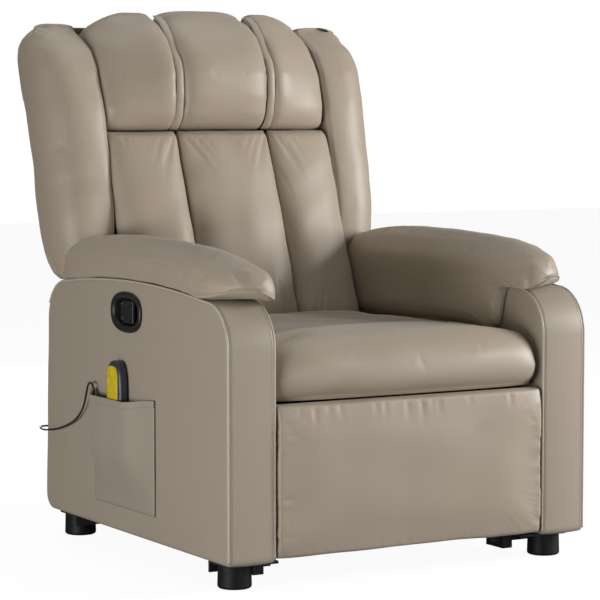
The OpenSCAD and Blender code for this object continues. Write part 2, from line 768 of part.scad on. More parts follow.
module back_hinge_pins() {
  color("silver") both_sides() {
    bar_x([plate_x[0] - 14, plate_x[1] + 1], back_pivot, back_pin_d);
    bar_x([plate_x[1] + 1, plate_x[1] + 6], back_pivot, back_pin_d + 8);
  }
}

module back_rear_cover() {
  zs = [352, 400, 430, 470, 512, 551, 621, 736, 798, 860, 902, 950, 985, 1010, 1030];
  outer = [for (z = zs) [lookup(z, rear_y), z]];
  inner = [for (i = [len(zs) - 1 : -1 : 0]) [lookup(zs[i], rear_y) - rear_cover_t, zs[i] - 2]];
  color("#8f8476") plate_yz([-wing_in + 1, wing_in - 1], concat(outer, inner));
}

// A channel cushion between x0 and x1, its valleys on the two given profiles
module channel(x0, x1, v0, v1) {
  zs = [0, 0.012, 0.04, 0.1, 0.2, 0.35, 0.5, 0.65, 0.8, 0.9, 0.96, 0.988, 1];
  xm = (x0 + x1) / 2;
  hw = (x1 - x0) / 2 - soft_gap / 2;
  rings = [for (t = zs) let (
      z = channel_z[0] + t * (channel_z[1] - channel_z[0]), s = 0.55 + 0.45 * swell(t, 5),
      ya = lookup(z, v0), yb = lookup(z, v1), yc = (ya + yb) / 2)
    [for (p = soft_ring([0, 0], 1, 1, 2.6, 24))
      [xm + p[0] * hw * (0.9 + 0.1 * s),
       yc + (yb - ya) * p[0] / 2 + p[1] * (p[1] < 0 ? bulge * s : channel_rear), z]]];
  color("#9a8e80") loft(rings);
}

module channel_centre() { channel(-channel_mid_x, channel_mid_x, valley_mid, valley_mid); }
module channel_left() { channel(channel_mid_x, wing_in, valley_mid, valley_out); }
module channel_right() { mirror([1, 0, 0]) channel_left(); }

// A head cushion segment: a fat roll in front of the frame that folds back over its top;
// corner is how far its outer edge is drawn in at the top
module head(x0, x1, v0, v1, top, corner) {
  zs = [0, 0.03, 0.09, 0.18, 0.3, 0.42, 0.55, 0.64, 0.72, 0.81, 0.89, 0.95, 0.985, 1];
  rings = [for (t = zs) let (
      z = head_z + t * (top - head_z),
      edge = x1 - corner * pow(max(0, 1 - (top - z) / 46), 2),
      xm = (x0 + edge) / 2,
      hw = (edge - x0) / 2 - soft_gap / 2,
      s = swell(0.5 + t / 2, 3.4) * min(1, 0.8 + 2 * t),
      w = swell(0.5 + t / 2, 6),
      ya = lookup(z, v0),
      yb = lookup(z, v1),
      front = (ya + yb) / 2 - 14 * s,
      rear = max(lookup(z, head_back), front + 16),
      yc = (front + rear) / 2,
      hd = (rear - front) / 2)
    [for (p = soft_ring([0, 0], 1, 1, 3.2, 24))
      [xm + p[0] * hw * (0.9 + 0.1 * w), yc + (yb - ya) * p[0] * (1 - p[1]) / 4 + p[1] * hd, z]]];
  color("#9a8e80") loft(rings);
}

module head_centre() { head(-channel_mid_x, channel_mid_x, head_mid, head_mid, top_z, 0); }
module head_left() { head(channel_mid_x, wing_in, head_mid, head_out, top_z - 5, 34); }
module head_right() { mirror([1, 0, 0]) head_left(); }

// A wing's plan at height z: flat inside, a big round to the side, a small one at the rear
function wing_ring(z, w, shrink, tuck) = let (
    front = lookup(z, wing_front),
    rear = lookup(z, rear_y) - wing_rear_in,
    r2 = 34,
    r1 = min(60, w - wing_in - 14, rear - front - r2 - 4),
    x0 = wing_in + 1,
    crest = x0 + wing_crest * (w - x0),
    mid = (front + rear) / 2,
    outline = concat([[x0, rear - 10], [x0, front + 14], [x0 + 10, front + 3]],
      arc([w - r1, front + r1], r1, 270, 360, 10), arc([w - r2, rear - r2], r2, 0, 90, 4)))
  [for (p = outline)
    [crest + (p[0] - crest) * (1 - 0.9 * shrink), mid + (p[1] - mid) * (1 - shrink),
     z + tuck * 0.22 * max(0, 340 - p[1])]];

// Each end ring is [height, narrowing, shrink, how far its front is tucked up]
module wing() {
  low = [[512, 10, 0, 1], [516, 7, 0, 0.9], [526, 3, 0, 0.7], [545, 1, 0, 0.4]];
  zs = [570, 600, 640, 690, 740, 794, 840, 881, 920, 950, 975, 995];
  high = [[1010, 0, 0.04, 0], [1020, 0, 0.11, 0], [1028, 0, 0.22, 0], [1034, 0, 0.42, 0],
          [1037, 0, 0.66, 0]];
  function half(z) = wing_half_w - lookup(z, [[510, 13], [640, 6], [794, 0], [965, -2], [1040, 10]]);
  rings = [for (q = concat(low, [for (z = zs) [z, 0, 0, 0]], high))
    wing_ring(q[0], half(q[0]) - q[1], q[2], q[3])];
  color("#94897b") loft(rings);
}

module wing_left() { wing(); }
module wing_right() { mirror([1, 0, 0]) wing(); }

// The boxing under a wing that closes the slot between the channels and the arm
module back_gusset() {
  color("#94897b") plate_yz([wing_in + 1, wing_in + 1 + gusset_w],
    [[156, 352], [252, 352], [262, 430], [329, 511], [240, 530], [237, 414], [172, 402]]);
}

module back_gusset_left() { back_gusset(); }
module back_gusset_right() { mirror([1, 0, 0]) back_gusset(); }

// ---------- footrest ----------
module footrest_link_rear() {
  color("#2a2a2d") {
    both_sides() {
      link_bar(rear_link_x, link_top, link_low, link_w);
      bar_x([rear_link_x[0], plate_x[1] + 1], link_top, link_pin_d);
      bar_x([front_link_x[0] - 1, rear_link_x[1]], link_low, link_pin_d);
      link_bar(rear_link_x, [link_top[0], rear_bar[1]], rear_bar, bar_d + 4);
    }
    bar_x([-rear_link_x[1], rear_link_x[1]], rear_bar, bar_d);
  }
}

module footrest_link_front() {
  color("#3a3a3d") {
    both_sides() difference() {
      union() {
        link_bar(front_link_x, link_low, link_top, link_w);
        bar_x([bracket_x[0] - 1, front_link_x[1]], link_top, link_pin_d);
      }
      bar_x([front_link_x[0] - 1, front_link_x[1] + 1], link_low, link_pin_d + 2 * run_gap);
    }
    bar_x([-front_link_x[0] - 1, front_link_x[0] + 1], front_bar, bar_d);
  }
}

module footrest_board() {
  color("#c9a875") slab([board_inset - foot_half_w, foot_half_w - board_inset],
                        [pad_rear, board_rear],
                        [panel_z[0] + board_inset, panel_z[1] - board_inset]);
  color("#2a2a2d") both_sides() difference() {
    union() {
      slab(bracket_x, [board_rear, link_top[0]], [link_top[1] - 20, link_top[1] + 12]);
      bar_x(bracket_x, link_top, link_w);
    }
    bar_x([bracket_x[0] - 1, bracket_x[1] + 1], link_top, link_pin_d + 2 * run_gap);
  }
}

module footrest_pad() {
  steps = 14;
  zm = (panel_z[0] + panel_z[1]) / 2;
  hh = (panel_z[1] - panel_z[0]) / 2;
  rings = [for (i = [0 : steps]) let (u = -cos(180 * i / steps), s = swell((u + 1) / 2, 6))
    concat([[u * foot_half_w, pad_rear, zm + hh]],
      [for (k = [0 : 12]) let (v = cos(180 * k / 12), fat = 0.25 + 0.75 * swell((v + 1) / 2, 5))
        [u * foot_half_w, pad_rear - foot_pad_t * fat * (0.25 + 0.75 * s), zm + hh * v]],
      [[u * foot_half_w, pad_rear, zm - hh]])];
  color("#9a8e80") loft(rings);
}

// ---------- assembly ----------
module placed() {
  translate([mid_x, 0, 0]) children();
}

placed() base_frame();
placed() base_feet();
placed() foot_screws();
placed() lift_arms();
placed() strut_cylinder();
placed() strut_rod();
placed() mechanism_plate_left();
placed() mechanism_plate_right();
placed() front_cross_tube();
placed() rear_cross_tube();
placed() seat_frame();
placed() seat_springs();
placed() seat_deck();
placed() seat_cushion();
placed() arm_frame_left();
placed() arm_frame_right();
placed() arm_cover_left();
placed() arm_cover_right();
placed() arm_pad_left();
placed() arm_pad_right();
placed() rear_panel();
placed() side_pocket();
placed() handle_bezel();
placed() pull_paddle();
placed() latch_pawl();
placed() release_cable();
placed() handset_shell();
placed() handset_face();
placed() button_power();
placed() button_mode();
placed() button_intensity();
placed() button_heat();
placed() handset_cord();
placed() cord_gland();
placed() control_box();
placed() power_inlet();
placed() heating_pad();
placed() seat_motors();
placed() seat_weight_left();
placed() seat_weight_right();
placed() back_motors();
placed() back_weight_left();
placed() back_weight_right();
placed() back_frame();
placed() back_hinge_pins();
placed() back_rear_cover();
placed() head_left();
placed() head_centre();
placed() head_right();
placed() channel_left();
placed() channel_centre();
placed() channel_right();
placed() wing_left();
placed() wing_right();
placed() back_gusset_left();
placed() back_gusset_right();
placed() footrest_link_rear();
placed() footrest_link_front();
placed() footrest_board();
placed() footrest_pad();
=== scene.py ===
"""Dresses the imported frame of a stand-up massage armchair in its leathercloth, foam and fittings.

All shapes are drawn in millimetres about the chair's own middle plane and are carried to
the frame, in metres, when they become meshes. The chair faces -Y and +Z is up.
"""

from __future__ import annotations

import json
import logging
import math
from dataclasses import dataclass
from enum import Enum
from typing import Sequence, Union

import bpy
import numpy as np
from mathutils import Euler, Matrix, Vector

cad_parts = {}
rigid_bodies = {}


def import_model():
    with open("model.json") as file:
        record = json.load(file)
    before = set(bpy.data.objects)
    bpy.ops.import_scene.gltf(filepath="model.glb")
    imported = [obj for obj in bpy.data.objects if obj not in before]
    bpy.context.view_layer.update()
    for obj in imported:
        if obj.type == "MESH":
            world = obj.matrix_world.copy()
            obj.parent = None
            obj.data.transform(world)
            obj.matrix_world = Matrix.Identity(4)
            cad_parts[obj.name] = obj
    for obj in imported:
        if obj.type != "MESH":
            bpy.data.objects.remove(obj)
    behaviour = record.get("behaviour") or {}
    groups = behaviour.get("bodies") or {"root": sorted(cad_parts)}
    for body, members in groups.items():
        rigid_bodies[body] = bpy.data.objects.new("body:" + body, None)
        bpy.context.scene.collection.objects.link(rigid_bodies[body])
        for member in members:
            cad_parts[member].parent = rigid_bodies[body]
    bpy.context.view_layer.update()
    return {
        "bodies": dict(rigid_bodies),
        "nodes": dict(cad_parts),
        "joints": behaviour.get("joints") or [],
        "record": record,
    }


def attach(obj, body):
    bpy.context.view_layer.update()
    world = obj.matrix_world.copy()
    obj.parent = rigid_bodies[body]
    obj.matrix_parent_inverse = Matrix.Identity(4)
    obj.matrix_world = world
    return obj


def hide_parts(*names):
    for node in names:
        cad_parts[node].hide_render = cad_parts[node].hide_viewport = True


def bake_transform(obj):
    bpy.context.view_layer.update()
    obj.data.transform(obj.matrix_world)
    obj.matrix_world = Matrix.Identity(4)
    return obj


LOG = logging.getLogger("armchair")

MM = 0.001
TINY = 1e-9
MIDDLE_X = 13.0
HALF_WIDTH = 390.0
ARM_INNER = 292.0
ARM_MIDDLE = (HALF_WIDTH + ARM_INNER) / 2
HANDLE_AT = (-66.0, 478.0)
SIDE_HINT = (0.31, 0.42, 0.85)

Array = np.ndarray
Table = Sequence[tuple[float, float]]
Place = tuple[float, float, float]
Rows = Sequence[tuple[float, ...]]
Mesh = tuple[Array, Sequence[Array]]


class Side(Enum):
    """The sitter's two sides, as the sign of X."""

    LEFT = 1
    RIGHT = -1

    @property
    def word(self) -> str:
        """The side as it is written in names."""
        return self.name.lower()


class Slot(Enum):
    """The record's material slots that the new pieces use."""

    HIDE = "hide"
    CUSHION = "cushion"
    LINING = "lining"
    PLASTIC = "black_plastic"
    HANDSET = "handset_blue"
    KEYS = "handset_yellow"
    CORD = "cord_black"


# ---- numbers and curves


def looked_up(x: Array, table: Table, soften: float = 0.0) -> Array:
    """Reads a table at x along straight lines, averaged over a window to round its corners.

    Args:
        x: Places to read.
        table: Rows of place and value, places rising.
        soften: Half width of the window.

    Returns:
        The values, in the shape of x.
    """
    rows = np.asarray(table, float)
    x = np.asarray(x, float)
    if soften == 0.0:
        return np.interp(x, rows[:, 0], rows[:, 1])
    steps = np.linspace(-1.0, 1.0, 11)
    weights = 0.5 + 0.5 * np.cos(np.pi * steps * 0.95)
    reads = np.interp(x[..., None] + steps * soften, rows[:, 0], rows[:, 1])
    return (reads * weights).sum(-1) / weights.sum()


def end_spaced(count: int, power: float = 1.0) -> Array:
    """Shares from 0 to 1 that crowd towards both ends: half of 1 minus a cosine.

    Args:
        count: How many shares.
        power: 1 for full crowding, 0 for even steps.

    Returns:
        The shares.
    """
    even = np.linspace(0.0, 1.0, count)
    return (1.0 - power) * even + power * (0.5 - 0.5 * np.cos(np.pi * even))


def swell(t: Array, power: float) -> Array:
    """A pillow's fullness at shares t of its length: (1 - |2t - 1|^p)^(1/p)."""
    return np.maximum(0.0, 1.0 - np.abs(2.0 * t - 1.0) ** power) ** (1.0 / power)


def rolled(d: Array, r: float, power: float) -> Array:
    """An end's roll: (1 - (1 - d/r)^p)^(1/p), from 0 at the end to 1 at the distance r."""
    return (1 - np.clip(1 - d / r, 0.0, 1.0) ** power) ** (1 / power)


def eased(t: Array) -> Array:
    """A smooth step: 3t^2 - 2t^3 between 0 and 1, flat outside."""
    t = np.clip(t, 0.0, 1.0)
    return t * t * (3.0 - 2.0 * t)


def unit(vectors: Array, least: float = 0.0) -> Array:
    """Vectors over their lengths, with least added to a length that may be nothing."""
    return vectors / (np.linalg.norm(vectors, axis=-1, keepdims=True) + least)


def run_along(path: Array) -> Array:
    """Distance from a path's start to each of its points, measured along it."""
    return np.concatenate([[0.0], np.cumsum(np.linalg.norm(np.diff(path, axis=0), axis=1))])


def at_x(x: float, outline: Array) -> Array:
    """An outline of (y, z) set at one x."""
    return np.column_stack([np.full(len(outline), x), outline])


def catmull(points: Array, at: Array, closed: bool) -> Array:
    """Catmull-Rom curve: each span blends its two ends and their neighbours by cubics.

    Args:
        points: Control points, shape (..., k, d).
        at: Parameters, one unit for each span.
        closed: Whether the last point joins the first.

    Returns:
        Points of shape (..., len(at), d).
    """
    k = points.shape[-2]
    span = np.floor(at).astype(int)
    if not closed:
        span = np.minimum(span, k - 2)
    t = (at - span)[:, None]
    picks = []
    for offset in (-1, 0, 1, 2):
        index = (span + offset) % k if closed else np.clip(span + offset, 0, k - 1)
        picks.append(points[..., index, :])
    p0, p1, p2, p3 = picks
    return 0.5 * (
        2 * p1
        + (p2 - p0) * t
        + (2 * p0 - 5 * p1 + 4 * p2 - p3) * t**2
        + (3 * p1 - p0 - 3 * p2 + p3) * t**3
    )


def even_curve(points: Array, count: int, closed: bool) -> Array:
    """A Catmull-Rom curve walked in even steps, measured on the mean of all its rows.

    Args:
        points: Control points, shape (..., k, d).
        count: Points wanted.
        closed: Whether the curve is a ring.

    Returns:
        Points of shape (..., count, d).
    """
    points = np.asarray(points, float)
    k = points.shape[-2]
    top = float(k if closed else k - 1)
    fine = np.linspace(0.0, top, 40 * k)
    mean = points.reshape(-1, *points.shape[-2:]).mean(0)
    run = run_along(catmull(mean, np.minimum(fine, top - TINY), closed))
    want = np.linspace(0.0, run[-1], count + 1)[:-1] if closed else np.linspace(0, run[-1], count)
    at = np.interp(want, run, fine)
    return catmull(points, np.minimum(at, top - TINY), closed)


def arc_points(cy: Array, cz: Array, r: float, a0: float, a1: float, n: int) -> Array:
    """Points on arcs of radius r about (cy, cz), from angle a0 to a1 in degrees.

    Args:
        cy: Centres along Y, one for each row.
        cz: Centres along Z, one for each row.
        r: Radius.
        a0: First angle.
        a1: Last angle.
        n: Steps, so n + 1 points.

    Returns:
        Points of shape (rows, n + 1, 2).
    """
    angle = np.radians(np.linspace(a0, a1, n + 1))
    cy, cz = np.broadcast_arrays(np.atleast_1d(cy), np.atleast_1d(cz))
    return np.stack([cy[:, None] + r * np.cos(angle), cz[:, None] + r * np.sin(angle)], -1)


def soft_square(count: int, power: float) -> Array:
    """A superellipse of half size 1: cosine and sine, each to the power 2/p, signs kept."""
    angle = 2 * np.pi * np.arange(count) / count
    c, s = np.cos(angle), np.sin(angle)
    return np.stack([np.sign(c) * np.abs(c) ** (2 / power), np.sign(s) * np.abs(s) ** (2 / power)], -1)


# ---- creases and meshes


@dataclass(frozen=True)
class Crease:
    """One crease, deepest at its start, with a soft shoulder on each side.

    The depth falls as exp(-(d/w)^2) with the distance d from the line, and with
    (1 - t)^1.5 along it.
    """

    start: Place
    end: Place
    depth: float = 2.0
    width: float = 5.0
    even: bool = False

    def field(self, points: Array) -> Array:
        """How far each point moves along its normal.

        Args:
            points: Points of shape (..., 3).

        Returns:
            Moves in millimetres, negative in the groove.
        """
        a, b = np.asarray(self.start, float), np.asarray(self.end, float)
        run = b - a
        t = np.clip(((points - a) @ run) / (run @ run), 0.0, 1.0)
        off = np.linalg.norm(points - a - t[..., None] * run, axis=-1) / self.width
        fade = 1.0 if self.even else (1.0 - t) ** 1.5 * eased(t * 8 + 0.35)
        return self.depth * fade * (0.4 * np.exp(-((off - 1.9) ** 2)) - np.exp(-(off**2)))


def gathers(
    seam: Sequence[Place],
    lean: Place,
    count: int,
    seed: int,
    depth: float = 1.6,
    width: float = 4.5,
    reach: tuple[float, float] = (18.0, 45.0),
) -> list[Crease]:
    """Small creases that start on a seam and run off it, spaced and leaned at random.

    Args:
        seam: The seam's corners.
        lean: Direction the creases take.
        count: How many.
        seed: Seed of the random draws.
        depth: Greatest depth.
        width: Usual width.
        reach: Shortest and longest crease.

    Returns:
        The creases.
    """
    rng = np.random.default_rng(seed)
    line = np.asarray(seam, float)
    shares = (np.arange(count) + rng.uniform(0.15, 0.85, count)) / count
    starts = catmull(line, shares * (len(line) - 1), False)
    way = np.asarray(lean, float) / np.linalg.norm(lean) + rng.normal(0, 0.16, (count, 3))
    ends = starts + way * rng.uniform(*reach, (count, 1))
    return [
        Crease(tuple(a), tuple(b), depth * rng.uniform(0.45, 1.0), width * rng.uniform(0.7, 1.3))
        for a, b in zip(starts, ends)
    ]


def seam_line(places: Sequence[Place], depth: float, width: float, n: int = 14) -> list[Crease]:
    """A sewn seam as a chain of even creases along a smooth curve through places."""
    line = even_curve(np.asarray(places, float), n + 1, False)
    return [Crease(tuple(a), tuple(b), depth, width, True) for a, b in zip(line[:-1], line[1:])]


def single_creases(rows: Rows, k: int = 1) -> list[Crease]:
    """Creases from rows of start, end, depth and width, with X times k."""
    return [Crease((k * a, b, c), (k * d, e, f), depth, width) for a, b, c, d, e, f, depth, width in rows]


def pressed(points: Array, creases: Sequence[Crease], chain: bool = False) -> Array:
    """Adds up creases; a chain takes the deepest link instead, so that its joints don't show."""
    total = np.zeros(points.shape[:-1])
    for crease in creases:
        move = crease.field(points)
        total = np.where(np.abs(move) > np.abs(total), move, total) if chain else total + move
    return total


def ripple(points: Array, seed: int, size: float = 0.9, length: float = 90.0) -> Array:
    """The slack of hide over foam: six sine waves in random directions, added.

    Args:
        points: Points of shape (..., 3).
        seed: Seed of the directions.
        size: Height of the sum.
        length: Usual wavelength.

    Returns:
        Moves along the normal.
    """
    rng = np.random.default_rng(seed)
    ways = rng.normal(size=(6, 3))
    ways *= 2 * np.pi / (length * rng.uniform(0.6, 1.8, (6, 1)) * np.linalg.norm(ways, axis=1, keepdims=True))
    return size / 3 * np.sin(points @ ways.T + rng.uniform(0, 6.28, 6)).sum(-1)


@dataclass
class Skin:
    """A closed skin held as a grid of points, rows along the piece and columns round it.

    Each end is closed by a fan of triangles to the mean of its row.
    """

    points: Array

    def closed(self) -> Mesh:
        """The skin's vertices, two poles last, and its faces turned outwards."""
        r, c = self.points.shape[:2]
        ring = np.arange(c)
        turn = np.roll(ring, -1)
        low = np.stack([turn, ring, np.full(c, r * c)], -1)
        high = np.stack([(r - 1) * c + ring, (r - 1) * c + turn, np.full(c, r * c + 1)], -1)
        poles = np.stack([self.points[0].mean(0), self.points[-1].mean(0)])
        return outwards(np.vstack([self.points.reshape(-1, 3), poles]), [ring_quads(r, c), low, high])

    def normals(self) -> Array:
        """Unit normals: the cross product of the steps round and along the grid."""
        p = self.points
        across = np.roll(p, -1, 1) - np.roll(p, 1, 1)
        n = unit(np.cross(across, np.gradient(p, axis=0)), TINY)
        return n if ((p - p.mean(axis=1, keepdims=True)) * n).sum() > 0 else -n

    def push(self, amount: Array) -> Skin:
        """Moves every point along its normal by amount, an array of the grid's shape."""
        self.points = self.points + self.normals() * amount[..., None]
        return self

    def mirrored(self) -> Skin:
        """The same skin on the chair's other side."""
        return Skin(self.points * np.array([-1.0, 1.0, 1.0]))


def volume(verts: Array, faces: Sequence[Array]) -> float:
    """Six times the signed volume: triple products of each face's fan, added."""
    total = 0.0
    for f in faces:
        for k in range(1, f.shape[1] - 1):
            a, b, c = verts[f[:, 0]], verts[f[:, k]], verts[f[:, k + 1]]
            total += float((a * np.cross(b, c)).sum())
    return total


def outwards(verts: Array, faces: Sequence[Array]) -> Mesh:
    """A closed mesh with all its faces turned outwards, by the sign of its volume."""
    return verts, faces if volume(verts, faces) > 0 else [f[:, ::-1] for f in faces]


def ring_quads(rows: int, columns: int) -> Array:
    """Four-sided faces between the neighbouring rings of a grid that closes on itself."""
    here = np.arange((rows - 1) * columns).reshape(rows - 1, columns)
    after = np.roll(here, -1, axis=1)
    return np.stack([here, after, after + columns, here + columns], -1).reshape(-1, 4)


def sheet_shell(front: Array, thick: float) -> Mesh:
    """A sheet with a wall: the front grid, a back grid set in along the normals, and a rim.

    Args:
        front: Grid of points, shape (rows, columns, 3).
        thick: Wall thickness; its sign picks the side.

    Returns:
        Vertices and outward faces.
    """
    r, c = front.shape[:2]
    n = unit(np.cross(np.gradient(front, axis=1), np.gradient(front, axis=0)), TINY)
    verts = np.vstack([front.reshape(-1, 3), (front - n * thick).reshape(-1, 3)])
    here = (np.arange(r - 1)[:, None] * c + np.arange(c - 1)).ravel()
    face = np.stack([here, here + 1, here + c + 1, here + c], -1)
    total = r * c
    edge = np.concatenate([
        np.arange(c - 1), np.arange(c - 1, total - 1, c),
        np.arange(total - 1, total - c, -1), np.arange(total - c, 0, -c),
    ])
    ahead = np.roll(edge, -1)
    rim = np.stack([ahead, edge, edge + total, ahead + total], -1)
    return outwards(verts, [face, face[:, ::-1] + total, rim])


def circles(along: Array, sides: int) -> Array:
    """Circles of radius 1 square to a run of directions, all turned from one fixed hint.

    Args:
        along: Unit directions, shape (n, 3).
        sides: Points on each circle.

    Returns:
        Points about the origin, shape (n, sides, 3).
    """
    side = unit(np.cross(along, SIDE_HINT))
    up = np.cross(side, along)
    angle = 2 * np.pi * np.arange(sides) / sides
    return np.cos(angle)[:, None] * side[:, None] + np.sin(angle)[:, None] * up[:, None]


def tube(path: Array, radius: float | Array, sides: int = 10) -> Skin:
    """A round bar: circles square to a path, widened to its radius.

    Args:
        path: Points of shape (n, 3).
        radius: One radius, or one for each point.
        sides: Points on each circle.

    Returns:
        The skin.
    """
    path = np.asarray(path, float)
    wide = np.broadcast_to(np.asarray(radius, float), (len(path),))[:, None, None]
    return Skin(path[:, None] + wide * circles(unit(np.gradient(path, axis=0)), sides))


def stitches(path: Array, long: float = 3.4, gap: float = 1.9, radius: float = 0.42) -> Mesh:
    """A run of thread stitches: short five-sided lozenges laid end to end along a path.

    Each lozenge is a fixed template of 20 points, turned to the path and copied by arrays.

    Args:
        path: Points of shape (n, 3).
        long: Length of a stitch.
        gap: Space between two.
        radius: Thread radius.

    Returns:
        Vertices and outward faces.
    """
    path = np.asarray(path, float)
    run = run_along(path)
    starts = np.arange(gap, run[-1] - long, long + gap)
    a, b = (np.stack([np.interp(starts + s, run, path[:, k]) for k in range(3)], -1) for s in (0, long))
    shares = np.array([0.0, 0.25, 0.75, 1.0])
    wide = radius * np.array([0.45, 1.0, 1.0, 0.45])
    spine = a[:, None] + shares[None, :, None] * (b - a)[:, None]
    rings = circles(unit(b - a), 5)[:, None]
    verts = (spine[:, :, None] + wide[None, :, None, None] * rings).reshape(-1, 3)
    caps = np.array([[4, 3, 2, 1, 0], [15, 16, 17, 18, 19]])
    shift = 20 * np.arange(len(starts))[:, None, None]
    return outwards(verts, [(ring_quads(4, 5) + shift).reshape(-1, 4), (caps + shift).reshape(-1, 5)])


def outline_normals(line: Array, closed: bool, least: float = 0.0) -> Array:
    """Unit normals of an outline in its own plane, pointing away from its middle.

    Args:
        line: Points of shape (n, 2).
        closed: Whether the last point joins the first.
        least: Added to each step, where two points may meet.

    Returns:
        The normals.
    """
    way = np.roll(line, -1, 0) - np.roll(line, 1, 0) if closed else np.gradient(line, axis=0)
    normal = unit(np.stack([-way[:, 1], way[:, 0]], -1), least)
    return normal if ((line - line.mean(0)) * normal).sum() > 0 else -normal


def rounded_plate(outline: Array, x: tuple[float, float], radius: float, dish: float = 0.0) -> Mesh:
    """A plate across X with rolled edges.

    Rings of the outline are set in by r(1 - cos a) while they go out by r sin a, and each
    flat is one many-sided face, dished by one more ring.

    Args:
        outline: Corners (y, z) in order, shape (n, 2).
        x: The plate's two faces.
        radius: Roll radius of its edges.
        dish: How deep the face towards x[0] is dished.

    Returns:
        Vertices and outward faces.
    """
    normal = outline_normals(outline, True, TINY)
    turns = np.radians(np.linspace(90.0, 0.0, 5))
    lo, hi = min(x), max(x)
    rings = [(radius * (1 - math.cos(t)), lo + radius * (1 - math.sin(t))) for t in turns]
    rings += [(inset, hi - (out - lo)) for inset, out in rings[::-1]]
    if dish:
        rings = [(radius + 2.5, lo + dish)] + rings
    points = np.stack([at_x(out, outline - normal * inset) for inset, out in rings])
    r, c = points.shape[:2]
    caps = np.stack([np.arange(c)[::-1], np.arange((r - 1) * c, r * c)])
    return outwards(points.reshape(-1, 3), [ring_quads(r, c), caps])


def softened(corners: Array, radius: float, n: int = 5) -> Array:
    """Rounds each corner: a quadratic curve from r before it to r after it.

    Args:
        corners: Corner points in order, shape (k, 2).
        radius: How far from the corner the curve starts.
        n: Steps in each curve.

    Returns:
        The rounded outline.
    """
    a = corners + unit(np.roll(corners, 1, 0) - corners) * radius
    b = corners + unit(np.roll(corners, -1, 0) - corners) * radius
    t = np.linspace(0, 1, n + 1)[None, :, None]
    curve = (1 - t) ** 2 * a[:, None] + 2 * t * (1 - t) * corners[:, None] + t**2 * b[:, None]
    return curve.reshape(-1, 2)


def linked(name: str, data: bpy.types.ID) -> bpy.types.Object:
    """Puts a mesh, a camera or a lamp into the scene as an object."""
    made = bpy.data.objects.new(name, data)
    bpy.context.scene.collection.objects.link(made)
    return made


def make_piece(
    name: str,
    shape: Mesh,
    body: str,
    finish: Finish,
    replaces: Sequence[str] = (),
    crease: Array | None = None,
) -> bpy.types.Object:
    """Carries a shape to the frame as a smooth mesh, hangs it on its body and hides the CAD nodes that it stands
    for.

    Args:
        name: The piece's name.
        shape: Vertices in millimetres about the middle plane, and their faces.
        body: Body that it rides on.
        finish: Its material.
        replaces: CAD nodes that it stands for.
        crease: A value for each vertex, 0 on the open surface and 1 in a deep fold; the hide is painted darker by
            it as shade.

    Returns:
        The object.
    """
    verts, faces = shape
    mesh = bpy.data.meshes.new(name)
    placed = (np.asarray(verts, float) + [MIDDLE_X, 0.0, 0.0]) * MM
    polygons = [row for f in faces for row in f.tolist()]
    mesh.from_pydata(placed.tolist(), [], polygons)
    mesh.polygons.foreach_set("use_smooth", np.ones(len(polygons), bool))
    # The fold layer darkens the hide's colour as painted shade in creases, and makes it rougher.
    layer = mesh.attributes.new("fold", "FLOAT", "POINT")
    layer.data.foreach_set("value", np.zeros(len(placed)) if crease is None else crease.astype(float))
    mesh.update()
    piece = linked(name, mesh)
    mesh.materials.append(finish.material())
    if replaces:
        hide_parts(*replaces)
    if body:
        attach(piece, body)
    LOG.info("%s: %d vertices, %d faces, on %s", name, len(placed), len(polygons), body)
    return piece


# ---- shader maths

Value = Union[float, "Wire"]


class Wire:
    """A node's output socket, on which numbers can be worked out with the usual signs."""

    def __init__(self, graph: Graph, socket: bpy.types.NodeSocket) -> None:
        """Keeps the graph and the socket."""
        self.graph = graph
        self.socket = socket

    def maths(self, operation: str, a: Value, b: Value) -> Wire:
        """Adds a Math node that joins a and b by operation."""
        return self.graph.node("ShaderNodeMath", {"operation": operation}, {0: a, 1: b}).out()

    def __add__(self, other: Value) -> Wire:
        """self + other."""
        return self.maths("ADD", self, other)

    def __radd__(self, other: Value) -> Wire:
        """other + self."""
        return self.maths("ADD", other, self)

    def __sub__(self, other: Value) -> Wire:
        """self - other."""
        return self.maths("SUBTRACT", self, other)

    def __rsub__(self, other: Value) -> Wire:
        """other - self."""
        return self.maths("SUBTRACT", other, self)

    def __mul__(self, other: Value) -> Wire:
        """self times other."""
        return self.maths("MULTIPLY", self, other)

    def __rmul__(self, other: Value) -> Wire:
        """other times self."""
        return self.maths("MULTIPLY", other, self)

    def larger(self, other: Value) -> Wire:
        """The larger of the two."""
        return self.maths("MAXIMUM", self, other)


class Made:
    """A node that a graph has made, with its outputs by name or place."""

    def __init__(self, graph: Graph, node: bpy.types.Node) -> None:
        """Keeps the graph and the node."""
        self.graph = graph
        self.node = node

    def out(self, name: str | int = 0) -> Wire:
        """One output as a wire."""
        return Wire(self.graph, self.node.outputs[name])


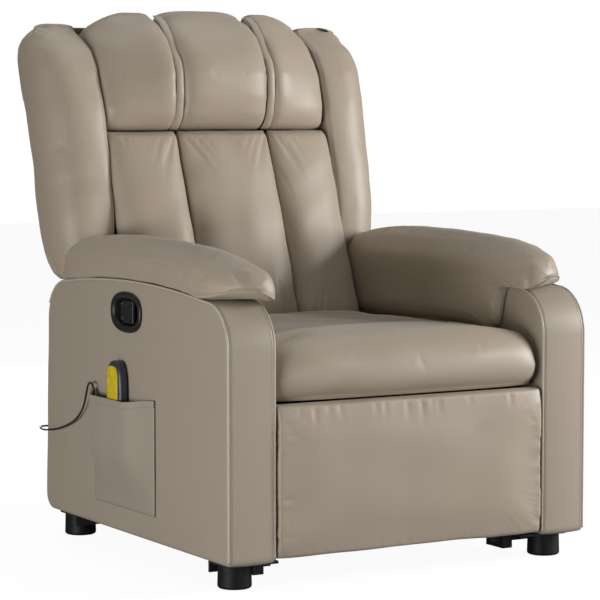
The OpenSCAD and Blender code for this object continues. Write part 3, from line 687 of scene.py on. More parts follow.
class Graph:
    """A material's or a world's node tree, emptied and ready to be filled."""

    def __init__(self, tree: bpy.types.NodeTree) -> None:
        """Empties the tree.

        Args:
            tree: The node tree.
        """
        self.tree = tree
        tree.nodes.clear()

    def node(self, kind: str, settings: dict | None = None, links: dict | None = None) -> Made:
        """Makes one node.

        Args:
            kind: The node's type.
            settings: Its properties; "stops" gives a colour ramp's places and colours.
            links: Values or wires for its input sockets, by name or place.

        Returns:
            The node.
        """
        made = self.tree.nodes.new(kind)
        for key, value in (settings or {}).items():
            if key == "stops":
                self.set_stops(made, value)
            else:
                setattr(made, key, value)
        for key, value in (links or {}).items():
            socket = made.inputs[key]
            if isinstance(value, Wire):
                self.tree.links.new(value.socket, socket)
            elif isinstance(value, tuple) and len(value) == 3 and socket.type == "RGBA":
                socket.default_value = (*value, 1.0)
            else:
                socket.default_value = value
        return Made(self, made)

    @staticmethod
    def set_stops(ramp: bpy.types.Node, stops: Sequence[tuple[float, float]]) -> None:
        """Gives a colour ramp grey stops, each a place and a level."""
        elements = ramp.color_ramp.elements
        while len(elements) < len(stops):
            elements.new(0.5)
        for element, (place, level) in zip(elements, stops):
            element.position = place
            element.color = (level, level, level, 1.0)

    def place(self, scale: Place = (1.0, 1.0, 1.0)) -> Wire:
        """Object coordinates in metres, scaled."""
        at = self.node("ShaderNodeTexCoord").out("Object")
        return self.node("ShaderNodeMapping", None, {"Vector": at, "Scale": scale}).out()

    def noise(self, at: Wire, scale: float, detail: float = 2.0, rough: float = 0.5) -> Wire:
        """Noise from 0 to 1."""
        links = {"Vector": at, "Scale": scale, "Detail": detail, "Roughness": rough}
        return self.node("ShaderNodeTexNoise", None, links).out(0)

    def mix(self, share: Value, a: Wire | Place, b: Wire | Place) -> Wire:
        """A colour between a and b."""
        made = self.node("ShaderNodeMix", {"data_type": "RGBA"}, {"Factor": share})
        for key, value in ((6, a), (7, b)):
            if isinstance(value, Wire):
                self.tree.links.new(value.socket, made.node.inputs[key])
            else:
                made.node.inputs[key].default_value = (*value, 1.0)
        return made.out(2)

    def bump(self, height: Wire, distance: float, strength: float = 1.0) -> Wire:
        """A normal tilted by a height, with its distance in metres."""
        links = {"Height": height, "Distance": distance, "Strength": strength}
        return self.node("ShaderNodeBump", None, links).out()


@dataclass(frozen=True)
class Finish:
    """A surface finish. Each kind fills the graph in its own paint method."""

    name: str
    colour: Place
    roughness: float = 0.5

    def material(self) -> bpy.types.Material:
        """The finish's material, made once and shared."""
        found = bpy.data.materials.get(self.name)
        if found is not None:
            return found
        made = bpy.data.materials.new(self.name)
        made.use_nodes = True
        graph = Graph(made.node_tree)
        shader = graph.node("ShaderNodeBsdfPrincipled", None, self.paint(graph))
        graph.node("ShaderNodeOutputMaterial", None, {"Surface": shader.out()})
        return made

    def paint(self, graph: Graph) -> dict:
        """The shader's sockets and what feeds them."""
        return {"Base Color": self.colour, "Roughness": self.roughness}

    def tinted(self, times: float, plus: float = 0.0) -> Place:
        """The finish's colour times a number, plus a little, held to 1."""
        return tuple(min(1.0, c * times + plus) for c in self.colour)


@dataclass(frozen=True)
class Hide(Finish):
    """Coated leathercloth: pebbled grain, a soft sheen, and painted shade that darkens it in its folds."""

    sheen: float = 0.10
    grain: float = 1.0

    def paint(self, graph: Graph) -> dict:
        """Cell grain for the bump, slow clouds for colour and gloss, and painted shade that darkens the folds."""
        at = graph.place()
        cells = {"Vector": at, "Scale": 620.0, "Randomness": 0.9}
        pebble = graph.node("ShaderNodeTexVoronoi", {"feature": "SMOOTH_F1"}, cells).out("Distance")
        fine = graph.noise(at, 1500.0, 2.0)
        cloud = graph.noise(at, 7.0, 3.0, 0.55)
        patch = graph.noise(at, 38.0, 2.0)
        # The fold layer: how deep each point lies in a fold; it drives the painted shade below and a rougher
        # gloss.
        fold = graph.node("ShaderNodeAttribute", {"attribute_name": "fold"}).out("Fac")
        pale = self.tinted(1.03)
        base = graph.mix(cloud, self.tinted(0.97), pale)
        base = graph.mix((patch - 0.5) * 0.12 + 0.04, base, pale)
        # Painted shade: the colour falls to 0.66 of the hide where the fold layer marks a deep fold.
        base = graph.mix(fold, base, self.tinted(0.66))
        gloss = self.roughness + (cloud - 0.5) * 0.05 + (patch - 0.5) * 0.04 + fold * 0.12
        height = (1.0 - pebble) * 0.75 + fine * 0.35
        return {
            "Base Color": base,
            "Roughness": gloss,
            "Normal": graph.bump(height, 0.00011 * self.grain, 0.55),
            "Sheen Weight": self.sheen,
            "Sheen Roughness": 0.45,
            "Coat Weight": 0.05,
            "Coat Roughness": 0.36,
        }


@dataclass(frozen=True)
class Moulding(Finish):
    """Injection-moulded plastic with a fine spark-eroded texture and light rubbing."""

    texture: float = 0.00006
    shine: float = 0.5

    def paint(self, graph: Graph) -> dict:
        """Fine noise for the bump and slow noise for the gloss."""
        at = graph.place()
        fine = graph.noise(at, 1900.0, 3.0)
        rub = graph.noise(at, 55.0, 4.0, 0.6)
        return {
            "Base Color": graph.mix(rub, self.colour, self.tinted(1.35, 0.002)),
            "Roughness": self.roughness + (rub - 0.5) * 0.2,
            "Normal": graph.bump(fine, self.texture, 0.5),
            "Specular IOR Level": self.shine,
        }


@dataclass(frozen=True)
class Coat(Finish):
    """Powder coat or plating on steel."""

    metallic: float = 0.0
    peel: float = 0.00008
    peel_scale: float = 420.0

    def paint(self, graph: Graph) -> dict:
        """Orange peel for the bump, with dust that dulls it in clouds."""
        at = graph.place()
        peel = graph.noise(at, self.peel_scale, 2.0)
        dust = graph.noise(at, 24.0, 4.0, 0.62)
        return {
            "Base Color": graph.mix(dust * 0.6, self.colour, self.tinted(0.8, 0.02)),
            "Roughness": self.roughness + (dust - 0.5) * 0.24,
            "Metallic": self.metallic,
            "Normal": graph.bump(peel, self.peel, 0.5),
        }


@dataclass(frozen=True)
class Timber(Finish):
    """Sawn pine and plywood: rings stretched along X, with pores."""

    def paint(self, graph: Graph) -> dict:
        """Noise that is stretched along the board for its grain."""
        at = graph.place((2.0, 26.0, 26.0))
        rings = graph.noise(at, 3.0, 5.0, 0.6)
        pores = graph.noise(graph.place((14.0, 300.0, 300.0)), 3.0, 2.0)
        dark = self.tinted(0.62)
        base = graph.mix(rings, dark, self.colour)
        return {
            "Base Color": graph.mix(pores * 0.25, base, dark),
            "Roughness": self.roughness + (rings - 0.5) * 0.15,
            "Normal": graph.bump(rings + pores * 0.4, 0.0003, 0.4),
        }


@dataclass(frozen=True)
class Felt(Finish):
    """Non-woven lining: matted fibres."""

    def paint(self, graph: Graph) -> dict:
        """Two noises, the finer one for fibres."""
        at = graph.place()
        fibre = graph.noise(at, 900.0, 4.0, 0.7)
        mat = graph.noise(at, 90.0, 3.0)
        return {
            "Base Color": graph.mix(fibre * 0.5 + mat * 0.3, self.colour, self.tinted(1.9, 0.004)),
            "Roughness": self.roughness,
            "Normal": graph.bump(fibre, 0.0004, 0.6),
        }


@dataclass(frozen=True)
class Backdrop(Finish):
    """The floor: pale under the lamps, and all but white to the camera and clear rays."""

    def material(self) -> bpy.types.Material:
        """Mixes a plain floor, for all other rays, with a white one that the camera sees."""
        made = bpy.data.materials.new(self.name)
        made.use_nodes = True
        graph = Graph(made.node_tree)
        path = graph.node("ShaderNodeLightPath")
        seen = path.out("Is Camera Ray").larger(path.out("Is Transmission Ray"))
        matt = graph.node("ShaderNodeBsdfDiffuse", None, {"Color": self.colour}).out()
        paper = graph.node("ShaderNodeBsdfDiffuse", None, {"Color": (0.95, 0.95, 0.95)}).out()
        white = graph.node("ShaderNodeEmission", None, {"Color": (1.0, 1.0, 1.0), "Strength": 1.05}).out()
        shown = graph.node("ShaderNodeMixShader", None, {0: self.roughness, 1: paper, 2: white}).out()
        both = graph.node("ShaderNodeMixShader", None, {0: seen, 1: matt, 2: shown}).out()
        graph.node("ShaderNodeOutputMaterial", None, {"Surface": both})
        return made


@dataclass(frozen=True)
class Palette:
    """Every finish on the chair."""

    hide: Hide = Hide("leathercloth_taupe", (0.378, 0.312, 0.238), 0.49)
    hide_flat: Hide = Hide("leathercloth_taupe_panel", (0.368, 0.308, 0.240), 0.50)
    hide_pocket: Hide = Hide("leathercloth_taupe_pocket", (0.345, 0.298, 0.235), 0.44)
    piping: Hide = Hide("leathercloth_piping", (0.50, 0.44, 0.36), 0.36)
    thread: Finish = Coat("thread_taupe", (0.27, 0.23, 0.18), 0.7)
    lining: Felt = Felt("felt_black", (0.012, 0.012, 0.013), 0.95)
    timber: Timber = Timber("timber_pine", (0.62, 0.45, 0.26), 0.62)
    steel: Coat = Coat("powder_coat_black", (0.013, 0.013, 0.014), 0.48)
    zinc: Coat = Coat("zinc_plated", (0.55, 0.55, 0.56), 0.34, 1.0, 0.00003, 900.0)
    plastic: Moulding = Moulding("moulded_black", (0.010, 0.010, 0.011), 0.42)
    foot: Moulding = Moulding("moulded_black_foot", (0.006, 0.006, 0.007), 0.5, 0.00012, 0.22)
    shell: Moulding = Moulding("moulded_slate", (0.028, 0.030, 0.050), 0.38)
    face: Moulding = Moulding("printed_yellow", (0.55, 0.40, 0.006), 0.34, 0.00002)
    key: Moulding = Moulding("key_yellow", (0.62, 0.46, 0.02), 0.40, 0.00003)
    mark: Moulding = Moulding("key_mark", (0.10, 0.075, 0.01), 0.5, 0.00001)
    lead: Moulding = Moulding("lead_black", (0.008, 0.008, 0.009), 0.40, 0.00004)
    hook_tape: Felt = Felt("hook_tape", (0.02, 0.02, 0.022), 0.95)


FINISH = Palette()


# ---- stuffing


@dataclass(frozen=True)
class Stuffing:
    """Blows a closed skin up from inside as cloth, with its travel held to a cap."""

    cap: float = 7.0
    pressure: float = 4.0
    frames: int = 16
    stiffness: float = 14.0

    def fill(self, skin: Skin, held: Array) -> Skin:
        """Runs the cloth and returns the skin where it came to rest.

        Args:
            skin: The skin at its start.
            held: A weight for each grid point: 1 is sewn down, 0 is free.

        Returns:
            The filled skin.
        """
        verts, faces = skin.closed()
        mesh = bpy.data.meshes.new("stuffing")
        mesh.from_pydata((verts * MM).tolist(), [], [row for f in faces for row in f.tolist()])
        form = linked("stuffing", mesh)
        weights = np.concatenate([held.ravel(), [1.0, 1.0]])
        group = form.vertex_groups.new(name="sewn")
        for level in np.unique(np.round(weights, 1)):
            chosen = np.flatnonzero(np.round(weights, 1) == level)
            if level > 0:
                group.add(chosen.tolist(), float(level), "REPLACE")
        self.set_cloth(form.modifiers.new("cloth", "CLOTH"))
        scene = bpy.context.scene
        for frame in range(1, self.frames + 1):
            scene.frame_set(frame)
        rested = form.evaluated_get(bpy.context.evaluated_depsgraph_get()).data
        out = np.empty(len(verts) * 3)
        rested.vertices.foreach_get("co", out)
        scene.frame_set(1)
        bpy.data.objects.remove(form)
        move = out.reshape(-1, 3) / MM - verts
        length = np.linalg.norm(move, axis=1, keepdims=True)
        move *= self.cap * np.tanh(length / self.cap) / np.maximum(length, 1e-6)
        return Skin((verts + move)[:-2].reshape(skin.points.shape))

    def set_cloth(self, cloth: bpy.types.Modifier) -> None:
        """Sets a light, springy cloth that a little air pressure fills."""
        cloth.settings.quality = 4
        cloth.settings.mass = 0.25
        cloth.settings.tension_stiffness = self.stiffness
        cloth.settings.compression_stiffness = self.stiffness
        cloth.settings.shear_stiffness = 4.0
        cloth.settings.bending_stiffness = 0.6
        cloth.settings.use_pressure = True
        cloth.settings.uniform_pressure_force = self.pressure
        cloth.settings.effector_weights.gravity = 0.0
        cloth.settings.vertex_group_mass = "sewn"
        cloth.settings.pin_stiffness = 4.0
        cloth.collision_settings.use_collision = False
        cloth.point_cache.frame_end = self.frames + 2


def fold_share(moves: Array, full: float) -> Array:
    """How deep in a fold each vertex of a closed skin lies, poles last; the hide is painted darker by it as
    shade.

    Args:
        moves: Moves along the normal; the first 1.2 mm inwards count as open surface.
        full: How much further in is a deep fold.

    Returns:
        Shares from 0 to 1.
    """
    return np.concatenate([np.clip((-moves.ravel() - 1.2) / full, 0.0, 1.0), [0.0, 0.0]])


def finish_skin(name: str, skin: Skin, moves: Array, body: str, node: str) -> None:
    """Presses the creases into a skin and makes it a padded piece.

    Args:
        name: The piece's name.
        skin: Its skin.
        moves: Move along the normal at each grid point.
        body: Body that it rides on.
        node: CAD node that it stands for.
    """
    skin.push(moves)
    # Fold depth for the hide's painted shade in its creases.
    fold = fold_share(moves, 3.0)
    piece = make_piece(name, skin.closed(), body, FINISH.hide, [node], fold)


class Padded:
    """A sub-assembly with a skin, a stuffing and a rule for where the skin is sewn down."""

    def filled(self, *edges: float | Table) -> Skin:
        """Works out the skin between its edges, if it takes any, and stuffs it."""
        skin = self.skin(*edges)
        return self.stuffing.fill(skin, self.held(skin))


# ---- the back


@dataclass
class BackShape:
    """The back's profiles, each a table of height against distance along Y."""

    valley_mid: Table = (
        (345, 142), (400, 142), (455, 147), (593, 196), (666, 224), (737, 254), (818, 285))
    valley_out: Table = (
        (345, 152), (400, 153), (455, 166), (610, 232), (658, 248), (754, 279), (818, 304))
    head_mid: Table = (
        (818, 286), (850, 262), (890, 252), (937, 251), (980, 268), (1009, 290), (1040, 330),
        (1061, 374))
    head_out: Table = ((818, 306), (867, 300), (929, 318), (992, 361), (1028, 401))
    head_back: Table = (
        (820, 346), (900, 365), (962, 390), (982, 462), (1000, 468), (1030, 444), (1060, 418),
        (1080, 412))
    rear: Table = (
        (345, 262), (430, 272), (512, 342), (551, 375), (621, 393), (736, 410), (798, 424),
        (860, 446), (902, 468), (950, 486), (985, 489), (1010, 482), (1030, 462), (1045, 430))
    wing_front: Table = (
        (530, 240), (560, 240), (600, 240), (660, 243), (736, 257), (794, 273), (881, 294),
        (945, 316), (988, 346), (1009, 381), (1030, 430))
    wing_in: float = 262.0
    wing_rear_in: float = 5.0
    channel_edge: float = 107.4
    low: float = 347.0
    seam: float = 816.0
    head_low: float = 817.5
    top: float = 1068.0


@dataclass
class Channels(Padded):
    """The three upright channels under the head cushion."""

    shape: BackShape
    rows: int = 96
    columns: int = 132
    bulge: float = 33.0
    depth: float = 34.0
    roll: float = 20.0
    stuffing: Stuffing = Stuffing(cap=6.0)

    def skin(self, x0: float, x1: float, v0: Table, v1: Table) -> Skin:
        """One channel between two valleys.

        Each level is a superellipse of power 2.6, as wide as the channel. Its middle runs
        from one valley to the other, its front bulges by the swell of the level, and both
        ends roll in.

        Args:
            x0: Inner edge.
            x1: Outer edge.
            v0: Valley profile at the inner edge.
            v1: Valley profile at the outer edge.

        Returns:
            The skin.
        """
        s = self.shape
        t = end_spaced(self.rows, 0.75)
        z = s.low + t * (s.seam - s.low)
        end = rolled(np.minimum(z - s.low, s.seam - z), self.roll, 2.4)
        full = (0.58 + 0.42 * swell(t, 5.0)) * end
        ya, yb = looked_up(z, v0, 16), looked_up(z, v1, 16)
        ring = soft_square(40, 2.6)
        half = (x1 - x0) / 2 - 0.5
        wide = half * (0.9 + 0.1 * np.maximum(full, 0.55))
        px, py = ring[:, 0], ring[:, 1]
        x = (x0 + x1) / 2 + wide[:, None] * px
        out = np.where(py < 0, self.bulge * full[:, None], self.depth * np.maximum(end, 0.3)[:, None])
        y = ((ya + yb) / 2)[:, None] + ((yb - ya) / 2)[:, None] * px + py * out
        grid = np.stack([x, y, np.broadcast_to(z[:, None], x.shape)], -1)
        return Skin(even_curve(grid, self.columns, True))

    def held(self, skin: Skin) -> Array:
        """Sewn down behind the valleys and at both ends, free on the face."""
        p = skin.points
        middle = (p[..., 1].max(1, keepdims=True) * 0.55 + p[..., 1].min(1, keepdims=True) * 0.45)
        behind = eased((p[..., 1] - middle + 6) / 12)
        shares = np.minimum(p[..., 2] - self.shape.low, self.shape.seam - p[..., 2]) / 14.0
        return np.maximum(behind, 1 - eased(shares))

    def build(self) -> None:
        """Builds the three channels."""
        s = self.shape
        outer = self.filled(s.channel_edge, s.wing_in, s.valley_mid, s.valley_out)
        middle = self.filled(-s.channel_edge, s.channel_edge, s.valley_mid, s.valley_mid)
        top = s.seam - 4
        cases = (
            ("left", outer, 31, [(118, 262, top), (180, 250, top), (250, 276, top)], 9),
            ("centre", middle, 32, [(-98, 258, top), (0, 244, top), (98, 258, top)], 8),
            ("right", outer.mirrored(), 33, [(-118, 262, top), (-180, 250, top), (-250, 276, top)], 9),
        )
        for word, skin, seed, seam, count in cases:
            p = skin.points
            creases = gathers(seam, (0, -0.25, -1), count, seed, 1.9, 4.2, (16, 52))
            creases += self.side_puckers(word, seed + 10)
            moves = pressed(p, creases) + ripple(p, seed, 1.3, 120)
            moves = np.where(p[..., 1] > looked_up(p[..., 2], s.valley_out) + 14, 0, moves)
            finish_skin(f"channel_{word}_cushion", skin, moves, "back", f"channel_{word}")

    def side_puckers(self, word: str, seed: int) -> list[Crease]:
        """Small creases that leave the valleys sideways, low down where the sitter bends them."""
        s = self.shape
        outer = (s.channel_edge, s.wing_in)
        middle = (-s.channel_edge, s.channel_edge)
        edges = {"left": outer, "centre": middle, "right": (-s.wing_in, -s.channel_edge)}[word]
        levels = (470, 520, 600, 690)
        made = []
        for x, way in ((edges[0], 1), (edges[1], -1)):
            seam = [(x + way * 8, float(looked_up(np.array(z), s.valley_mid)) - 16, z) for z in levels]
            made += gathers(seam, (way, -0.5, 0.25), 5, seed, 1.1, 4.0, (14, 34))
            seed += 1
        return made


@dataclass
class Head(Padded):
    """The head cushion: three fat segments that fold over the top of the back."""

    shape: BackShape
    rows: int = 92
    columns: int = 140
    power: float = 4.4
    corner: float = 70.0
    corner_tall: float = 76.0
    shoulder: float = 9.0
    shoulder_tall: float = 60.0
    welt_half: float = 8.0
    welt_share: float = 0.7
    single: tuple[Rows, ...] = (
        ((246, 300, 1008, 222, 268, 996, 1.4, 5), (120, 262, 950, 146, 248, 946, 1.0, 4)),
        ((102, 258, 936, 74, 246, 944, 1.6, 4.5), (100, 250, 914, 80, 244, 918, 1.1, 4),
         (-102, 258, 950, -72, 244, 960, 1.1, 4.5), (-20, 262, 996, 30, 262, 992, 0.7, 7)),
        ((-252, 330, 1010, -196, 282, 1034, 1.6, 5), (-250, 318, 996, -214, 290, 1008, 1.2, 4.5),
         (-112, 256, 900, -140, 246, 896, 0.8, 5)),
    )
    stuffing: Stuffing = Stuffing(cap=5.0)

    def skin(self, x0: float, x1: float, v0: Table, v1: Table, top: float, corner: float) -> Skin:
        """One segment.

        Each level is a superellipse between the front and rear of its level. The outer edge
        comes in along a quarter ellipse over the corner's height, and both edges of the top
        fall by the fourth power of the share across.

        Args:
            x0: Inner edge.
            x1: Outer edge.
            v0: Front profile at the inner edge.
            v1: Front profile at the outer edge.
            top: Height of the segment's top.
            corner: How far the outer edge comes in at the top.

        Returns:
            The skin.
        """
        t = end_spaced(self.rows, 0.8)
        z = self.shape.head_low + t * (top - self.shape.head_low)
        middle, deep, lean = self.levels(z, v0, v1, top)
        wide = swell(0.5 + t / 2, 6.0)
        end = deep / deep.max()
        ring = soft_square(48, self.power)
        px, py = ring[:, 0], ring[:, 1]
        up = np.clip(1 - (top - z) / self.corner_tall, 0.0, 0.995)
        outer = x1 - corner * (1 - np.sqrt(1 - up**2))
        half = (outer - x0) / 2 - 0.5
        x = ((x0 + outer) / 2)[:, None] + (half * (0.9 + 0.1 * wide) * (0.9 + 0.1 * end))[:, None] * px
        y = middle[:, None] + lean[:, None] * px * (1 - py) + py * deep[:, None]
        drop = eased((z - top + self.shoulder_tall) / self.shoulder_tall)[:, None]
        sunk = self.shoulder * drop * np.abs(px) ** 4
        grid = np.stack([x, y, z[:, None] - sunk], -1)
        return Skin(even_curve(grid, self.columns, True))

    def levels(self, z: Array, v0: Table, v1: Table, top: float) -> tuple[Array, ...]:
        """Middle, half depth and half lean of a segment at each height.

        The front is drawn forward by 13 mm times the level's swell. The half depth rolls in
        over the first 18 mm and the last 26 mm.

        Args:
            z: Heights.
            v0: Front profile at the inner edge.
            v1: Front profile at the outer edge.
            top: Height of the segment's top.

        Returns:
            The three arrays.
        """
        s = self.shape
        t = (z - s.head_low) / (top - s.head_low)
        low, high = rolled(z - s.head_low, 18.0, 2.4), rolled(top - z, 26.0, 2.2)
        full = swell(0.5 + t / 2, 3.4) * np.minimum(1.0, 0.8 + 2 * t)
        ya, yb = looked_up(z, v0, 10), looked_up(z, v1, 12)
        front = (ya + yb) / 2 - 13.0 * full
        rear = np.maximum(looked_up(z, s.head_back, 8), front + 16)
        return (front + rear) / 2, (rear - front) / 2 * low * high, (yb - ya) / 4

    def held(self, skin: Skin) -> Array:
        """Sewn down at its rear, its bottom seam and its side seams."""
        p = skin.points
        lo, hi = p[..., 1].min(1, keepdims=True), p[..., 1].max(1, keepdims=True)
        behind = eased(((p[..., 1] - lo) / (hi - lo + 1e-6) - 0.5) / 0.25)
        return np.maximum(behind, 1 - eased((p[..., 2] - self.shape.head_low) / 14.0))

    def build(self) -> None:
        """Builds the three segments and the flat welts between them."""
        s = self.shape
        side = self.filled(s.channel_edge, s.wing_in, s.head_mid, s.head_out, s.top - 5, self.corner)
        middle = self.filled(-s.channel_edge, s.channel_edge, s.head_mid, s.head_mid, s.top, 0.0)
        low = s.head_low + 5
        cases = (
            ("left", side, 41, [(120, 286, low), (250, 300, low)]),
            ("centre", middle, 42, [(-95, 278, low), (95, 278, low)]),
            ("right", side.mirrored(), 43, [(-120, 286, low), (-250, 300, low)]),
        )
        for (word, skin, seed, seam), single in zip(cases, self.single):
            p = skin.points
            creases = gathers(seam, (0, -0.5, 1), 6, seed, 1.0, 4.5, (10, 24)) + single_creases(single)
            moves = pressed(p, creases) + ripple(p, seed, 1.2, 130)
            moves = np.where(p[..., 1] > 360, 0.5 * moves, moves)
            finish_skin(f"head_{word}_cushion", skin, moves, "back", f"head_{word}")
        for side_of in Side:
            self.welt(side_of)

    def welt(self, side: Side) -> None:
        """The flat strip sewn in between two segments, sunk to a share of their half depth."""
        s = self.shape
        z = np.linspace(s.head_low + 3, s.top - 13, 80)
        middle, deep, _ = self.levels(z, s.head_mid, s.head_mid, s.top)
        across = np.linspace(-self.welt_half, self.welt_half, 9)
        crown = 3.6 * (1 - np.abs(across / self.welt_half) ** 2.6)
        x = side.value * s.channel_edge + across[None, :] + 0 * z[:, None]
        y = (middle - self.welt_share * deep)[:, None] - crown[None, :]
        grid = np.stack([x, y, z[:, None] + 0 * x], -1)
        name = f"head_welt_{side.word}"
        piece = make_piece(name, sheet_shell(grid, -2.0), "back", FINISH.hide)


@dataclass
class Wings(Padded):
    """The two side wings, a big soft round to the front and side of the back."""

    shape: BackShape
    rows: int = 130
    columns: int = 128
    half_width: float = 383.0
    big_round: float = 70.0
    small_round: float = 36.0
    crest: float = 0.4
    dome: float = 54.0
    dome_top: float = 1039.0
    foot: float = 512.0
    tip: float = 1038.5
    tuck_line: float = 340.0
    narrow: Table = ((510, 13), (640, 6), (794, 0), (965, -2), (1040, 10))
    pulled: Table = ((512, 10), (516, 7), (526, 3), (545, 1), (570, 0))
    tuck: Table = ((512, 1.0), (516, 0.9), (526, 0.7), (545, 0.4), (575, 0.0))
    shrink: Table = (
        (988, 0.0), (1004, 0.03), (1016, 0.09), (1026, 0.2), (1033, 0.39), (1036.5, 0.63), (1038.5, 0.95))
    stuffing: Stuffing = Stuffing(cap=6.0, pressure=3.0)

    def skin(self) -> Skin:
        """The left wing.

        Each level is a plan with a flat inner side, an arc of the big radius at its front
        outer corner and one of the small radius behind it. It shrinks towards its middle
        near the top, where its outer side comes in along a quarter ellipse, and the front of
        the lowest levels is drawn up.
        """
        s = self.shape
        z = self.foot + end_spaced(self.rows, 0.9) * (self.tip - self.foot)
        front = looked_up(z, s.wing_front, 14)
        rear = looked_up(z, s.rear, 8) - s.wing_rear_in
        w = self.half_width - looked_up(z, self.narrow, 10) - looked_up(z, self.pulled, 3)
        x0 = s.wing_in + 1.0
        r2 = np.full_like(z, self.small_round)
        r1 = np.minimum.reduce([np.full_like(z, self.big_round), w - s.wing_in - 14, rear - front - r2 - 4])
        a1, a2 = np.radians(np.linspace(-90, 0, 9)), np.radians(np.linspace(0, 90, 5))
        ones = np.ones_like(z)
        xs = [ones * x0, ones * x0, ones * (x0 + 4), ones * (x0 + 14)]
        ys = [rear - 10, front + 20, front + 8, front + 2]
        cx, cy = w - r1, front + r1
        xs += [cx + r1 * math.cos(a) for a in a1] + [w - r2 + r2 * math.cos(a) for a in a2]
        ys += [cy + r1 * math.sin(a) for a in a1] + [rear - r2 + r2 * math.sin(a) for a in a2]
        x, y = np.stack(xs, 1), np.stack(ys, 1)
        small = looked_up(z, self.shrink, 1.5)[:, None]
        middle = ((front + rear) / 2)[:, None]
        lift = looked_up(z, self.tuck, 3)[:, None] * 0.22 * np.maximum(0.0, self.tuck_line - y)
        crest = (x0 + self.crest * (w - x0))[:, None]
        up = np.clip((z - self.dome_top + self.dome) / self.dome, 0.0, 0.998)[:, None]
        drawn = np.where(x > crest, 1 - np.sqrt(1 - up**2), small**2)
        x = crest + (x - crest) * (1 - 0.9 * drawn)
        grid = np.stack([x, middle + (y - middle) * (1 - small), z[:, None] + lift], -1)
        return Skin(even_curve(grid, self.columns, True))

    def held(self, skin: Skin) -> Array:
        """Sewn down inside, behind the rear seam and at the lower hem."""
        p = skin.points
        inner = 1 - eased((p[..., 0] - self.shape.wing_in - 2) / 12)
        rear = looked_up(p[..., 2], self.shape.rear) - self.shape.wing_rear_in
        behind = eased((p[..., 1] - rear + 30) / 12)
        return np.maximum.reduce([inner, behind, 1 - eased((p[..., 2] - self.foot) / 20)])

    def build(self) -> None:
        """Builds both wings with the rim seam that runs up their rear edge."""
        first = self.filled()
        levels = (560, 640, 720, 800, 880, 950, 1000)
        for side, seed in ((Side.LEFT, 51), (Side.RIGHT, 52)):
            skin = first if side is Side.LEFT else first.mirrored()
            k, p = side.value, skin.points
            rim = self.rim(side)
            creases = gathers(rim, (-0.2 * k, -1, 0.1), 17, seed, 2.1, 4.6, (14, 46))
            inner = [(k * 268, float(looked_up(np.array(z), self.shape.wing_front)) + 4, z) for z in levels]
            creases += gathers(inner, (k, -0.2, 0.2), 6, seed + 4, 0.9, 5.0, (14, 40))
            moves = pressed(p, creases) + ripple(p, seed, 1.5, 150)
            moves = moves + pressed(p, seam_line(rim, 2.2, 3.2, 26), True)
            moves = moves * eased((1037 - p[..., 2]) / 14)
            finish_skin(f"wing_{side.word}_cushion", skin, moves, "back", f"wing_{side.word}")
            self.gusset(side)

    def gusset(self, side: Side) -> None:
        """The flat boxing under the wing, between the channels and the arm."""
        corners = [(156, 352), (252, 352), (262, 430), (329, 511), (240, 530), (237, 414), (172, 402)]
        inner = self.shape.wing_in + 1
        ends = (inner, inner + 20) if side is Side.LEFT else (-(inner + 20), -inner)
        plate = rounded_plate(softened(np.array(corners, float), 9.0), ends, 5.0)
        name = f"back_gusset_{side.word}"
        piece = make_piece(f"{name}_boxing", plate, "back", FINISH.hide_flat, [name])

    def rim(self, side: Side) -> list[Place]:
        """The seam between the wing's face and its rear rim, 30 to 52 mm before the rear."""
        z = np.array([530.0, 580, 650, 730, 800, 870, 930, 980, 1015])
        before = self.shape.wing_rear_in + np.array([34, 32, 30, 30, 32, 34, 38, 44, 52.0])
        y = looked_up(z, self.shape.rear, 8) - before
        w = self.half_width - looked_up(z, self.narrow, 10) - np.array([2, 0, 0, 0, 0, 0, 0, 3, 12.0])
        return [(side.value * float(a), float(b), float(c)) for a, b, c in zip(w, y, z)]


@dataclass
class BackPanel:
    """The hide stretched over the rear of the back, held at its foot by hook tape."""

    shape: BackShape
    half: float = 261.0
    low: float = 354.0
    high: float = 1030.0

    def build(self) -> None:
        """Builds the panel, its side piping and the hook tape at its foot."""
        s = self.shape
        z = np.linspace(self.low, self.high, 96)
        x = np.linspace(-self.half, self.half, 72)
        gx, gz = np.meshgrid(x, z)
        drawn = 2.6 * np.sin(gz / 61.0 + 0.8 * np.sin(gx / 120.0)) * eased((self.half - np.abs(gx)) / 90)
        gy = looked_up(gz, s.rear, 12) - 2.0 - 0.6 * np.abs(drawn)
        edge = self.half - np.abs(gx)
        gy = gy - 5.0 * (1 - eased(edge / 10)) - 1.6 * np.exp(-(((gz - 800) / 3.0) ** 2))
        creases = gathers([(-250, 400, 806), (250, 400, 806)], (0, 0.2, 1), 16, 61, 1.2, 6, (20, 60))
        grid = np.stack([gx, gy, gz], -1)
        grid[..., 1] += pressed(grid, creases)
        shell = sheet_shell(grid, 2.4)
        piece = make_piece("back_panel_hide", shell, "back", FINISH.hide_flat, ["back_rear_cover"])
        rear = looked_up(z, s.rear, 12)
        for side in Side:
            path = np.stack([np.full(96, side.value * (self.half + 0.5)), rear - 3.5, z], -1)
            bead = tube(path, 2.3, 8).closed()
            make_piece(f"back_piping_{side.word}", bead, "back", FINISH.piping)
        x, z = np.meshgrid(np.linspace(-250, 250, 40), np.linspace(356, 380, 5))
        shell = sheet_shell(np.stack([x, looked_up(z, s.rear, 12) + 0.4, z], -1), 1.4)
        make_piece("back_hook_tape", shell, "back", FINISH.hook_tape)


# ---- the arms


